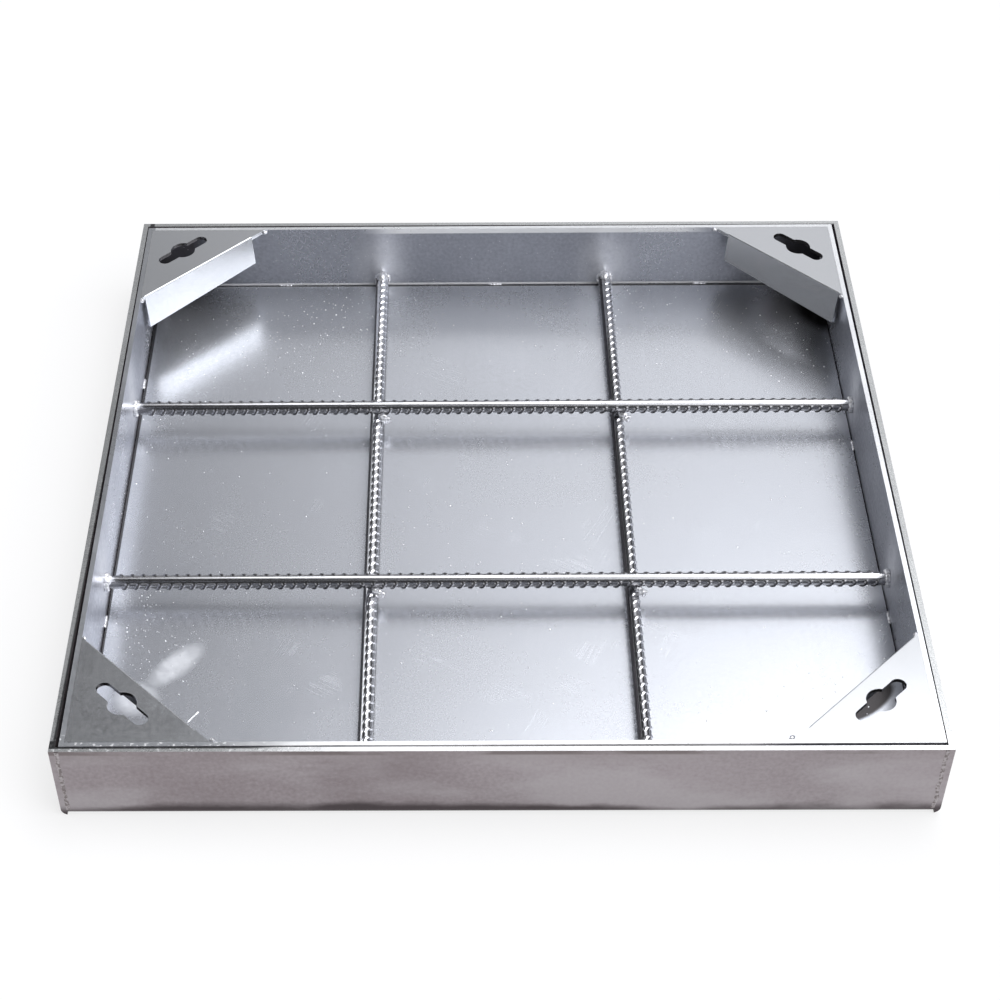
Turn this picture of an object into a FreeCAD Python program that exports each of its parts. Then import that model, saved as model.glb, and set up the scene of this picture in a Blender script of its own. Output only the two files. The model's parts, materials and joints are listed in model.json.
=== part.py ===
import FreeCAD
import Part
import math
import os

from FreeCAD import Vector

# Recessed paving cover: a welded angle frame, set in the ground, holds a loose steel tray.
# The tray is filled with concrete or paving, which ribbed bars tie to it, and four corner
# plates with T-key holes lift it. Millimetres; +Z up; the front faces -Y; the origin is at
# the middle of the frame's underside.

# Frame: angle folded from plate, its ledge turned inward
FRAME_SIDE = 600.0
FRAME_HEIGHT = 66.0
FRAME_STEEL = 4.0
FRAME_BEND = 1.5
LEDGE_WIDTH = 30.0
BEAD_WIDTH = 5.0
BEAD_PROUD = 0.6

# Tray: walls round a separate floor plate, flush with the frame. The floor rests on the
# ledge, and the walls stop just above it to clear the inside of the frame's fold.
TRAY_GAP = 1.5
TRAY_STEEL = 3.5
WALL_ABOVE_LEDGE = 1.5
FLOOR_STEEL = 3.0
FLOOR_GAP = 1.0
TRAY_TURN = 0.15

# Corner plates: a triangle with its long side folded down, and a keyhole in the top. The fold
# is a little open, and its flange is deepest at the side wall.
GUSSET_LEG = 97.0
GUSSET_STEEL = 3.0
GUSSET_FIT = 0.1
GUSSET_EDGE = 1.0
FLANGE_LEAN = 5.0
FLANGE_DROP = 30.0
FLANGE_DROP_AT_END = 26.0
FLANGE_SHORT_AT_SIDE = 4.5
FLANGE_SHORT_AT_END = 15.0
BACK_KEY_FROM_CORNER = 29.0
FRONT_KEY_FROM_CORNER = 34.5
KEY_SLOT_LENGTH = 50.0
KEY_SLOT_WIDTH = 11.0
KEY_HOLE_DIAMETER = 20.5

# Ribbed bars: two from front to back, and two across on top of them
BAR_DIAMETER = 10.4
BAR_SIDES = 10
BAR_ABOVE_FLOOR = 1.2
BAR_CLEARANCE = 0.1
BAR_END_GAP = 1.0
BARS_ALONG_Y_AT_X = (-94.0, 101.0)
BARS_ALONG_X_AT_Y = (-100.0, 100.0)
RIB_HEIGHT = 1.05
RIB_WIDTH = 2.0
RIB_PITCH = 8.3
RIB_FREE_END = 14.0
RIB_LEAN = -30.0
RIB_SPAN = 0.93
RIB_SINK = 0.15
SPINE_WIDTH = 3.6
SPINE_HEIGHT = 0.6

# Welds
WELD_LEG = 4.0
TACK_LENGTH = 14.0
STITCH_LEG = 3.5
STITCH_LENGTH = 22.0
COLLAR_AT_WALL = 9.5
COLLAR_AT_BAR = 7.2
COLLAR_LENGTH = 6.0
COLLAR_FROM = -30
COLLAR_STEP = 60
COLLAR_CORNERS = 5
LUMP_WIDTH = 13.0
LUMP_DEPTH = 9.0
LUMP_HEIGHT = 11.0
LUMP_TAPER = 4.0
LUMP_SINK = 2.5
WELD_FIT = 0.1
LEFT_TACKS_AT_Y = (155.0, -122.0)
RIGHT_TACKS_AT_Y = (72.0, -122.0)
CROSS_TACKS_AT_X = (-180.0, 5.0, 185.0)

# Sizes that follow from those above
HALF_FRAME = FRAME_SIDE / 2
TRAY_SIDE = FRAME_SIDE - 2 * (FRAME_STEEL + TRAY_GAP)
HALF_TRAY = TRAY_SIDE / 2
INSIDE = HALF_TRAY - TRAY_STEEL
LEDGE_TOP = FRAME_STEEL
WALL_FOOT = LEDGE_TOP + WALL_ABOVE_LEDGE
FLOOR_TOP = LEDGE_TOP + FLOOR_STEEL
BAR_RADIUS = BAR_DIAMETER / 2
BAR_STEP = 2 * math.pi / BAR_SIDES
BAR_REACH = BAR_RADIUS + RIB_HEIGHT
SPINE_REACH = BAR_RADIUS * math.cos(BAR_STEP / 2) + SPINE_HEIGHT
BAR_LENGTH = 2 * (INSIDE - BAR_END_GAP)
LOW_BAR_Z = FLOOR_TOP + BAR_ABOVE_FLOOR + BAR_REACH
HIGH_BAR_Z = LOW_BAR_Z + BAR_REACH + BAR_CLEARANCE + SPINE_REACH
ROOT = math.sqrt(0.5)

X_AXIS = Vector(1, 0, 0)
Y_AXIS = Vector(0, 1, 0)
Z_AXIS = Vector(0, 0, 1)
ORIGIN = Vector(0, 0, 0)


def block(x0, x1, y0, y1, z0, z1):
    """A box between two opposite corners."""
    return Part.makeBox(x1 - x0, y1 - y0, z1 - z0, Vector(x0, y0, z0))


def prism(points, along):
    """The flat polygon through the points, extruded along a vector."""
    outline = Part.makePolygon(list(points) + [points[0]])
    return Part.Face(outline).extrude(along)


def tapered(lower, upper):
    """Flat-sided solid between two rings of points whose matching edges are parallel."""
    outlines = [lower, upper]
    for side in range(len(lower)):
        outlines.append([lower[side - 1], lower[side], upper[side], upper[side - 1]])
    faces = [Part.Face(Part.makePolygon(points + points[:1])) for points in outlines]
    return Part.Solid(Part.Shell(faces))


def turned(shape, degrees, axis=Z_AXIS):
    """A copy turned about an axis through the origin."""
    copy = shape.copy()
    copy.rotate(ORIGIN, axis, degrees)
    return copy


def moved(shape, x, y, z):
    """A copy moved by x, y, z."""
    copy = shape.copy()
    copy.translate(Vector(x, y, z))
    return copy


def mirrored(shape, axis):
    """The mirror image in the plane through the origin that is square to the axis."""
    return shape.mirror(ORIGIN, axis)


def fold_profile(steel, bend, flat, drop):
    """Section of one right-angle fold, in the XZ plane.

    The outer corner is at the origin. One leg runs down the Z axis for drop, and the other
    runs back along -X for flat. The plate keeps its thickness round the bend.
    """
    outer = bend + steel
    corner = Vector(-outer, 0, -outer)
    slant = Vector(ROOT, 0, ROOT)
    edges = [
        Part.makeLine(Vector(-flat, 0, 0), Vector(-outer, 0, 0)),
        Part.Arc(Vector(-outer, 0, 0), corner + slant * outer, Vector(0, 0, -outer)).toShape(),
        Part.makeLine(Vector(0, 0, -outer), Vector(0, 0, -drop)),
        Part.makeLine(Vector(0, 0, -drop), Vector(-steel, 0, -drop)),
        Part.makeLine(Vector(-steel, 0, -drop), Vector(-steel, 0, -outer)),
        Part.Arc(Vector(-steel, 0, -outer), corner + slant * bend, Vector(-outer, 0, -steel)).toShape(),
        Part.makeLine(Vector(-outer, 0, -steel), Vector(-flat, 0, -steel)),
        Part.makeLine(Vector(-flat, 0, -steel), Vector(-flat, 0, 0)),
    ]
    return Part.Face(Part.Wire(edges))


def angle_length(length):
    """Folded angle along Y at the right-hand side: upright leg outside, ledge at the foot."""
    section = fold_profile(FRAME_STEEL, FRAME_BEND, LEDGE_WIDTH, FRAME_HEIGHT)
    bar = section.extrude(Vector(0, length, 0))
    upright = mirrored(bar, Z_AXIS)
    return moved(upright, HALF_FRAME, -length / 2, 0)


def frame_side():
    """The right-hand length runs the full depth, with its ledge coped round the end lengths."""
    bar = angle_length(FRAME_SIDE)
    for y0 in (-HALF_FRAME, HALF_FRAME - FRAME_STEEL):
        inner_face = HALF_FRAME - FRAME_STEEL
        cope = block(inner_face - LEDGE_WIDTH, inner_face, y0, y0 + FRAME_STEEL, 0, FRAME_HEIGHT)
        bar = bar.cut(cope)
    return bar


def frame_end():
    """An end length fits between the side lengths, and its ledge between their ledges."""
    inner_face = HALF_FRAME - FRAME_STEEL
    bar = angle_length(2 * inner_face)
    for sign in (-1, 1):
        y0, y1 = sorted((sign * (HALF_FRAME - LEDGE_WIDTH), sign * inner_face))
        bar = bar.cut(block(HALF_FRAME - LEDGE_WIDTH, inner_face, y0, y1, 0, FRAME_HEIGHT / 2))
    return bar


def frame_weld_beads():
    """A low bead down each butt joint, where an end length meets a side length."""
    foot = FRAME_BEND + FRAME_STEEL
    half = BEAD_WIDTH / 2
    section = [
        Vector(-half, 0, foot),
        Vector(half, 0, foot),
        Vector(half / 2, -BEAD_PROUD, foot),
        Vector(-half / 2, -BEAD_PROUD, foot),
    ]
    bead = prism(section, Z_AXIS * (FRAME_HEIGHT - foot - BEAD_PROUD))
    joint = HALF_FRAME - FRAME_STEEL
    front = [moved(bead, sign * joint, -HALF_FRAME, 0) for sign in (-1, 1)]
    return front + [turned(bead, 180) for bead in front]


def tray_floor():
    half = INSIDE - FLOOR_GAP
    return block(-half, half, -half, half, LEDGE_TOP, FLOOR_TOP)


def tray_side_wall():
    """The right-hand wall runs the full depth of the tray."""
    return block(INSIDE, HALF_TRAY, -HALF_TRAY, HALF_TRAY, WALL_FOOT, FRAME_HEIGHT)


def tray_end_wall():
    """The back wall fits between the side walls."""
    return block(-INSIDE, INSIDE, INSIDE, HALF_TRAY, WALL_FOOT, FRAME_HEIGHT)


def fillet_weld(leg, length):
    """Three-cornered bead along +Y, in the corner between the planes x = 0 and z = 0."""
    return prism([ORIGIN, Vector(leg, 0, 0), Vector(0, 0, leg)], Y_AXIS * length)


def tray_corner_welds():
    """Upright fillets inside the tray's four corners, from the floor to the corner plates."""
    foot = FLOOR_TOP + WELD_LEG + WELD_FIT
    head = FRAME_HEIGHT - GUSSET_STEEL - WELD_FIT
    corner = Vector(INSIDE, INSIDE, foot)
    section = [corner, corner - X_AXIS * WELD_LEG, corner - Y_AXIS * WELD_LEG]
    weld = prism(section, Z_AXIS * (head - foot))
    return [turned(weld, quarter * 90) for quarter in range(4)]


def floor_tacks():
    """Short fillets that hold the floor plate to the walls across its edge gap."""
    tack = moved(fillet_weld(WELD_LEG, TACK_LENGTH), -INSIDE, -TACK_LENGTH / 2, FLOOR_TOP)
    left = [moved(tack, 0, y, 0) for y in LEFT_TACKS_AT_Y]
    right = [moved(turned(tack, 180), 0, y, 0) for y in RIGHT_TACKS_AT_Y]
    front = [moved(turned(tack, 90), x, 0, 0) for x in CROSS_TACKS_AT_X]
    back = [moved(turned(tack, -90), x, 0, 0) for x in CROSS_TACKS_AT_X]
    return left + right + front + back


def keyhole():
    """Cutter for a T-key: a slot along X with a round hole at its middle, at the origin."""
    depth = 3 * GUSSET_STEEL
    reach = (KEY_SLOT_LENGTH - KEY_SLOT_WIDTH) / 2
    half = KEY_SLOT_WIDTH / 2
    cutter = Part.makeCylinder(KEY_HOLE_DIAMETER / 2, depth, Vector(0, 0, -depth / 2))
    cutter = cutter.fuse(block(-reach, reach, -half, half, -depth / 2, depth / 2))
    for x in (-reach, reach):
        cutter = cutter.fuse(Part.makeCylinder(half, depth, Vector(x, 0, -depth / 2)))
    return cutter


def lean_section(reach):
    """Section of the corner plate's fold, in the YZ plane.

    The top runs back along +Y for reach, and the flange hangs down, leaning out to -Y. The
    outside is rounded to a small radius, and the inside is sharp, as a notched fold is.
    """
    lean = math.radians(FLANGE_LEAN)
    down = Vector(0, -math.sin(lean), -math.cos(lean))
    inward = Vector(0, math.cos(lean), -math.sin(lean))
    half_angle = (math.pi / 2 + lean) / 2
    start = GUSSET_EDGE / math.tan(half_angle)
    middle = (Y_AXIS + down).normalize() * (GUSSET_EDGE / math.sin(half_angle) - GUSSET_EDGE)
    crook = GUSSET_STEEL * (1 - math.sin(lean)) / math.cos(lean)
    path = [
        down * start,
        down * FLANGE_DROP,
        down * FLANGE_DROP + inward * GUSSET_STEEL,
        Vector(0, crook, -GUSSET_STEEL),
        Vector(0, reach, -GUSSET_STEEL),
        Vector(0, reach, 0),
        Y_AXIS * start,
    ]
    edges = [Part.makeLine(one, two) for one, two in zip(path, path[1:])]
    edges.append(Part.Arc(Y_AXIS * start, middle, down * start).toShape())
    return Part.Face(Part.Wire(edges))


def corner_plate(key_from_corner):
    """The corner plate of the tray's right-hand back corner.

    It is made with the fold along X: the corner points to +Y, and the fold's edge is y = 0.
    The flange stops short of both walls, and the two tips of the triangle run on to them.
    """
    half_long = GUSSET_LEG * ROOT
    left = FLANGE_SHORT_AT_END - half_long
    right = half_long - FLANGE_SHORT_AT_SIDE
    tip = half_long - GUSSET_FIT / ROOT
    plate = prism([Vector(-tip, 0, 0), Vector(tip, 0, 0), Vector(0, tip, 0)], Z_AXIS * -GUSSET_STEEL)
    plate = plate.cut(block(left, right, -1, GUSSET_STEEL, -FLANGE_DROP, GUSSET_STEEL))
    reach = (GUSSET_STEEL + FLANGE_SHORT_AT_SIDE) / 2
    flange = moved(lean_section(reach).extrude(X_AXIS * (right - left)), left, 0, 0)
    below = 2 * FLANGE_DROP
    slope = [
        Vector(left, -FLANGE_DROP, -FLANGE_DROP_AT_END),
        Vector(right, -FLANGE_DROP, -FLANGE_DROP),
        Vector(right, -FLANGE_DROP, -below),
        Vector(left, -FLANGE_DROP, -below),
    ]
    flange = flange.cut(prism(slope, Y_AXIS * below))
    plate = plate.fuse(flange).removeSplitter()
    key_y = half_long - key_from_corner / ROOT
    plate = plate.cut(moved(keyhole(), 0, key_y, 0))
    plate = turned(plate, -45)
    middle = INSIDE - GUSSET_LEG / 2
    return moved(plate, middle, middle, FRAME_HEIGHT)


def corner_plate_welds():
    """Two stitches under each corner plate, one along each wall."""
    underside = FRAME_HEIGHT - GUSSET_STEEL
    stitch = mirrored(fillet_weld(STITCH_LEG, STITCH_LENGTH), Z_AXIS)
    at_left_wall = moved(stitch, -INSIDE, INSIDE - GUSSET_LEG / 2, underside)
    at_back_wall = moved(turned(stitch, -90), -INSIDE + GUSSET_LEG / 2, INSIDE, underside)
    welds = []
    for quarter in range(4):
        welds.append(turned(at_left_wall, quarter * 90))
        welds.append(turned(at_back_wall, quarter * 90))
    return welds


def bar_core(radius, length):
    """Many-sided bar along X, centred, with an edge on its +Y side."""
    corners = []
    for side in range(BAR_SIDES):
        angle = side * BAR_STEP
        corners.append(Vector(-length / 2, radius * math.cos(angle), radius * math.sin(angle)))
    return prism(corners, X_AXIS * length)


def bar_rib():
    """One leaning cross rib, highest in the middle and sinking into the core at both ends.

    It stands on the core's edge on the +Y side and spans most of the two flats beside it.
    """
    end_z = RIB_SPAN * BAR_RADIUS * math.sin(BAR_STEP)
    end_y = BAR_RADIUS * (1 - RIB_SPAN * (1 - math.cos(BAR_STEP))) - RIB_SINK
    root_y = BAR_RADIUS * math.cos(BAR_STEP) - RIB_SINK
    outline = [(root_y, -end_z), (end_y, -end_z), (BAR_REACH, 0), (end_y, end_z), (root_y, end_z)]
    lean = math.tan(math.radians(RIB_LEAN))
    points = [Vector(z * lean - RIB_WIDTH / 2, y, z) for y, z in outline]
    return prism(points, X_AXIS * RIB_WIDTH)


def ribbed_bar():
    """Ribbed bar along X, centred: a many-sided core, two spines and two rows of cross ribs."""
    core = bar_core(BAR_RADIUS, BAR_LENGTH)
    half = BAR_LENGTH / 2
    spines = block(-half, half, -SPINE_WIDTH / 2, SPINE_WIDTH / 2, -SPINE_REACH, SPINE_REACH)
    rib = bar_rib()
    far_rib = turned(rib, 180, X_AXIS)
    count = int((BAR_LENGTH - 2 * RIB_FREE_END) / RIB_PITCH)
    ribs = []
    for number in range(count):
        x = (number - (count - 1) / 2) * RIB_PITCH
        ribs.append(moved(rib, x - RIB_PITCH / 4, 0, 0))
        ribs.append(moved(far_rib, x + RIB_PITCH / 4, 0, 0))
    return core.fuse([spines] + ribs)


def weld_collar():
    """Weld over the upper half of a bar's end, from the wall x = 0 along +X.

    The section is a ring of straight-sided steps, wide at the wall and narrow at its toe.
    """
    clear = math.hypot(SPINE_REACH, SPINE_WIDTH / 2) + WELD_FIT
    inner = clear / math.cos(math.radians(COLLAR_STEP / 2))
    angles = [math.radians(COLLAR_FROM + COLLAR_STEP * corner) for corner in range(COLLAR_CORNERS)]
    rings = []
    for x, outer in ((0, COLLAR_AT_WALL), (COLLAR_LENGTH, COLLAR_AT_BAR)):
        arc = [Vector(x, outer * math.cos(a), outer * math.sin(a)) for a in angles]
        back = [Vector(x, inner * math.cos(a), inner * math.sin(a)) for a in reversed(angles)]
        rings.append(arc + back)
    return tapered(*rings)


def bar_end_welds():
    """A collar at both ends of each bar."""
    collar = moved(weld_collar(), -INSIDE, 0, 0)
    welds = []
    for y in BARS_ALONG_X_AT_Y:
        welds.append(moved(collar, 0, y, HIGH_BAR_Z))
        welds.append(moved(turned(collar, 180), 0, y, HIGH_BAR_Z))
    for x in BARS_ALONG_Y_AT_X:
        welds.append(moved(turned(collar, 90), x, 0, LOW_BAR_Z))
        welds.append(moved(turned(collar, -90), x, 0, LOW_BAR_Z))
    return welds


def crossing_welds():
    """A lump in the crook of each crossing, cut back to sit against both bars."""
    rings = []
    for z, cut_in in ((0, 0), (LUMP_HEIGHT, LUMP_TAPER)):
        x = LUMP_WIDTH - cut_in
        y = cut_in - LUMP_DEPTH
        rings.append([Vector(0, 0, z), Vector(x, 0, z), Vector(x, y, z), Vector(0, y, z)])
    lump = tapered(*rings)
    seat = bar_core((BAR_REACH + WELD_FIT) / math.cos(BAR_STEP / 2), TRAY_SIDE)
    welds = []
    for x in BARS_ALONG_Y_AT_X:
        low = moved(turned(seat, 90), x, 0, LOW_BAR_Z)
        for y in BARS_ALONG_X_AT_Y:
            high = moved(seat, 0, y, HIGH_BAR_Z)
            weld = moved(lump, x - LUMP_SINK, y - LUMP_SINK, LOW_BAR_Z)
            welds.append(weld.cut(low).cut(high))
    return welds


def build():
    """Every node of the cover, by name, where it lies in use."""
    side = frame_side()
    end = turned(frame_end(), 90)
    frame = {
        "frame_right": [side],
        "frame_left": [turned(side, 180)],
        "frame_back": [end],
        "frame_front": [turned(end, 180)],
        "frame_corner_welds": frame_weld_beads(),
    }
    side_wall = tray_side_wall()
    end_wall = tray_end_wall()
    back_plate = corner_plate(BACK_KEY_FROM_CORNER)
    front_plate = mirrored(corner_plate(FRONT_KEY_FROM_CORNER), Y_AXIS)
    bar = ribbed_bar()
    cross_bars = [moved(bar, 0, y, HIGH_BAR_Z) for y in BARS_ALONG_X_AT_Y]
    on_edge = turned(turned(bar, 90, X_AXIS), 90)
    long_bars = [moved(on_edge, x, 0, LOW_BAR_Z) for x in BARS_ALONG_Y_AT_X]
    tray = {
        "tray_floor": [tray_floor()],
        "tray_wall_right": [side_wall],
        "tray_wall_left": [turned(side_wall, 180)],
        "tray_wall_back": [end_wall],
        "tray_wall_front": [turned(end_wall, 180)],
        "tray_corner_welds": tray_corner_welds(),
        "floor_tack_welds": floor_tacks(),
        "lifting_corner_back_right": [back_plate],
        "lifting_corner_back_left": [mirrored(back_plate, X_AXIS)],
        "lifting_corner_front_right": [front_plate],
        "lifting_corner_front_left": [mirrored(front_plate, X_AXIS)],
        "lifting_corner_welds": corner_plate_welds(),
        "ribbed_bar_front": [cross_bars[0]],
        "ribbed_bar_back": [cross_bars[1]],
        "ribbed_bar_left": [long_bars[0]],
        "ribbed_bar_right": [long_bars[1]],
        "bar_end_welds": bar_end_welds(),
        "bar_crossing_welds": crossing_welds(),
    }
    for name, solids in tray.items():
        frame[name] = [turned(solid, TRAY_TURN) for solid in solids]
    return frame


os.makedirs("parts", exist_ok=True)
for name, solids in build().items():
    shape = solids[0] if len(solids) == 1 else Part.makeCompound(solids)
    shape.exportStep("parts/" + name + ".step")
    print(name, len(shape.Solids), "solids,", round(shape.Volume / 1000, 1), "cm3")
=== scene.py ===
# %% [markdown]
# Recessed paving cover.
# The real object is a welded steel frame with a loose steel tray inside it. The CAD model already
# holds every plate, bar and bead at its real size, so this script only adds what makes it look
# real: the finish of the steel, the fine ribs of the bars, the rough shape of the welds, the
# light, the floor and the camera.

# %% Load the CAD model
import bpy
import json
import math
import random
from mathutils import Euler, Matrix, Vector, noise


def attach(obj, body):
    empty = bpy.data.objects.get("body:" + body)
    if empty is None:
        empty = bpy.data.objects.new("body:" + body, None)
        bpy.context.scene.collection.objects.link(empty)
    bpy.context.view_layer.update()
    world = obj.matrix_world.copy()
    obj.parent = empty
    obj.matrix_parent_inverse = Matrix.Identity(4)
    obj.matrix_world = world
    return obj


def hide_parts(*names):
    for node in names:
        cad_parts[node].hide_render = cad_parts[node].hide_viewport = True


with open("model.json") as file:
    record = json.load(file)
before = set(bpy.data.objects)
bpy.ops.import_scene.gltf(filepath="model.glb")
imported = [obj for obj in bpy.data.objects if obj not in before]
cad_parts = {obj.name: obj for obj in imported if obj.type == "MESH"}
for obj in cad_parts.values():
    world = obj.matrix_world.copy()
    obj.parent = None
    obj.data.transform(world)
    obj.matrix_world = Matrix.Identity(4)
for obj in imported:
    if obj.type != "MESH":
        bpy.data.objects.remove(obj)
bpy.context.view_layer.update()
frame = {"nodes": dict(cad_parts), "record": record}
NODES = frame["nodes"]

# %% [markdown]
# The camera stands where the photographer stood: in front of the cover, a little left of its
# middle, looking down at about 45 degrees. Its place, turn and lens were solved from the straight
# edges of the frame. They could be found by trying, but a solved camera puts every edge where the
# photo has it. The picture is a crop, so the lens is shifted a little to frame it the same.

# %% Camera
CAMERA_PLACE = (-0.02526, -1.18064, 1.09678)
CAMERA_TURN_DEG = (44.2226, 0.3995, 0.1487)
CAMERA_LENS_MM = 73.71
SENSOR_MM = 36.0
CAMERA_SHIFT = (0.0514, 0.1181)


def make_camera():
    data = bpy.data.cameras.new("camera")
    data.lens = CAMERA_LENS_MM
    data.sensor_width = SENSOR_MM
    data.shift_x, data.shift_y = CAMERA_SHIFT
    camera = bpy.data.objects.new("camera", data)
    camera.location = CAMERA_PLACE
    camera.rotation_euler = Euler([math.radians(a) for a in CAMERA_TURN_DEG])
    bpy.context.collection.objects.link(camera)
    bpy.context.scene.camera = camera
    return camera


camera = make_camera()
print("camera at", CAMERA_PLACE)

# %% [markdown]
# A material is a small network of nodes. Each could be written out node by node, but then the
# same four lines would stand here a hundred times, so these helpers keep a network short to
# write. An "entry" is either a plain number or the output of another node.

# %% Node helpers
CLOUD_MIDDLE = 0.5


def add(tree, kind, **options):
    """Adds a node and sets its own options."""
    made = tree.nodes.new(kind)
    for key, value in options.items():
        setattr(made, key, value)
    return made


def feed(tree, socket, entry):
    """Puts a number, a colour, a vector or another node's output into a socket."""
    if isinstance(entry, bpy.types.NodeSocket):
        tree.links.new(entry, socket)
    else:
        socket.default_value = entry


def calc(tree, operation, *entries):
    node = add(tree, "ShaderNodeMath", operation=operation)
    for socket, entry in zip(node.inputs, entries):
        feed(tree, socket, entry)
    return node.outputs[0]


def times(tree, *entries):
    """The product of its entries."""
    result = entries[0]
    for entry in entries[1:]:
        result = calc(tree, "MULTIPLY", result, entry)
    return result


def total(tree, entries):
    """The sum of a list of entries, held at 1 or below."""
    result = entries[0]
    for entry in entries[1:]:
        result = calc(tree, "ADD", result, entry)
    return calc(tree, "MINIMUM", result, 1.0)


def spread(tree, value, start, full, at_start=0.0, at_full=1.0):
    """Eases from 0 to 1 while the value goes from start to full, which may lie either way."""
    node = add(tree, "ShaderNodeMapRange", interpolation_type="SMOOTHSTEP")
    for label, entry in (("Value", value), ("From Min", start), ("From Max", full),
                         ("To Min", at_start), ("To Max", at_full)):
        feed(tree, node.inputs[label], entry)
    return node.outputs["Result"]


def mix(tree, share, first, second):
    """Blends two colours by the share of the second."""
    node = add(tree, "ShaderNodeMix", data_type="RGBA")
    for socket, entry in zip((node.inputs[0], node.inputs[6], node.inputs[7]), (share, first, second)):
        feed(tree, socket, entry)
    return node.outputs[2]


def vector(tree, operation, *entries):
    node = add(tree, "ShaderNodeVectorMath", operation=operation)
    for socket, entry in zip(node.inputs, entries):
        feed(tree, socket, entry)
    return node.outputs["Value" if operation in ("DOT_PRODUCT", "LENGTH") else "Vector"]


def split(tree, entry):
    """The X, Y and Z of a vector, each under its own letter."""
    node = add(tree, "ShaderNodeSeparateXYZ")
    tree.links.new(entry, node.inputs[0])
    return node.outputs


def clouds(tree, place, scale, detail=2.0):
    node = add(tree, "ShaderNodeTexNoise")
    for label, entry in (("Vector", place), ("Scale", scale), ("Detail", detail)):
        feed(tree, node.inputs[label], entry)
    return node.outputs["Fac"]


def turned(tree, place, turn_deg):
    """The same place, turned about the upright axis."""
    node = add(tree, "ShaderNodeVectorRotate", rotation_type="Z_AXIS")
    feed(tree, node.inputs["Vector"], place)
    node.inputs["Angle"].default_value = math.radians(turn_deg)
    return node.outputs[0]


def stretched(tree, place, scale, turn_deg=0.0):
    """The same place, turned about the upright axis and then stretched."""
    return vector(tree, "MULTIPLY", turned(tree, place, turn_deg), scale)


def on_object(tree):
    return add(tree, "ShaderNodeTexCoord").outputs["Object"]


print("node helpers ready")

# %% [markdown]
# Bare steel has hardly a colour of its own: it looks like what it reflects. So the light is the
# first half of the finish. The room is nearly dark, with a few wide soft windows in it. Lamps could
# do the same, but a window painted on the world shows in the steel as a soft glow, with no edge.
# The flat plates mirror the windows behind the cover, which makes the floor of the tray run from
# grey at the left to white at the right. The one at the right lights the folded flanges. Each
# window is a direction, an angle at which it has faded out, and a strength.

# %% Light
ROOM_LOW = (0.085, 0.088, 0.095, 1)
ROOM_HIGH = (0.02, 0.02, 0.022, 1)
ROOM_RISE = (0.0, 0.8)
# name, azimuth from the back towards the right, elevation, fade angle, strength
WINDOWS = (
    ("high_back", 35.5, 65.5, 25, 5.2),
    ("back", 0.5, 23.5, 25, 0.47),
    ("left", -66, 16, 28, 2.4),
    ("right", 112, 45, 44, 3.1),
    ("front_left", -138.5, 10, 33, 1.1),
    ("front_right", 143.5, 38.5, 27, 0.54),
    ("mid_back", 18, 42.5, 23.5, 0.6),
)
WINDOW_TINT = (0.985, 0.995, 1.03)


def towards(azimuth, elevation):
    """Unit vector to a place in the room, with azimuth 0 behind the cover and 90 at its right."""
    turn, rise = math.radians(azimuth), math.radians(elevation)
    return Vector((math.sin(turn) * math.cos(rise), math.cos(turn) * math.cos(rise), math.sin(rise)))


def make_room():
    world = bpy.data.worlds.new("room")
    world.use_nodes = True
    tree = world.node_tree
    direction = add(tree, "ShaderNodeTexCoord").outputs["Generated"]
    light = mix(tree, spread(tree, split(tree, direction)["Z"], *ROOM_RISE), ROOM_LOW, ROOM_HIGH)
    for _, azimuth, elevation, fade, strength in WINDOWS:
        facing = vector(tree, "DOT_PRODUCT", direction, towards(azimuth, elevation))
        glow = spread(tree, facing, math.cos(math.radians(fade)), 1.0, 0.0, strength)
        light = vector(tree, "ADD", light, vector(tree, "MULTIPLY", glow, WINDOW_TINT))
    tree.links.new(light, tree.nodes["Background"].inputs["Color"])
    bpy.context.scene.world = world


make_room()
bpy.context.scene.view_settings.view_transform = "Standard"
print("windows:", [window[0] for window in WINDOWS])

# %% [markdown]
# Rolled sheet is never quite even. It has broad clouds from the rolls, fine streaks along the way
# it was rolled, a grain that makes its mirror image soft and a little sparkling, and here and
# there a long thin scratch. A picture of real steel could show all that, but it would repeat and
# blur up close, so noise makes it here. All the plates share it, so it is one node group. A
# scratch is the thin line along which a stretched cloud passes one value, kept in a few patches.

# %% Rolled sheet group
STREAKS = (260.0, 7.0, 260.0)
FINE_SCALE = 340.0
WAVE_SCALE = 26.0
BROAD_SHARE, STREAK_SHARE, FINE_SHARE = 0.6, 0.12, 0.28
TONE_RANGE = (0.3, 0.7)
# stretch of the cloud along each axis, its turn, and the turn of the patches that keep the lines
SCRATCH_SETS = (((320.0, 9.0, 320.0), 24.0, 0.0), ((290.0, 11.0, 290.0), -58.0, 40.0))
SCRATCH_HALF_WIDTH = 0.05
SCRATCH_PATCH_SCALE = 17.0
SCRATCH_PATCH_RANGE = (0.62, 0.7)


def start_group(name, inputs, outputs):
    """A node group with float inputs that have a default each, and float outputs."""
    tree = bpy.data.node_groups.new(name, "ShaderNodeTree")
    for label, value in inputs:
        socket = tree.interface.new_socket(name=label, in_out="INPUT", socket_type="NodeSocketFloat")
        socket.default_value = value
    for label in outputs:
        tree.interface.new_socket(name=label, in_out="OUTPUT", socket_type="NodeSocketFloat")
    return tree, add(tree, "NodeGroupInput").outputs, add(tree, "NodeGroupOutput").inputs


def place_group(tree, group, **values):
    """Places a group in a material, with its own values, and gives its outputs."""
    node = add(tree, "ShaderNodeGroup", node_tree=group)
    for label, entry in values.items():
        feed(tree, node.inputs[label.replace("_", " ")], entry)
    return node.outputs


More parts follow.
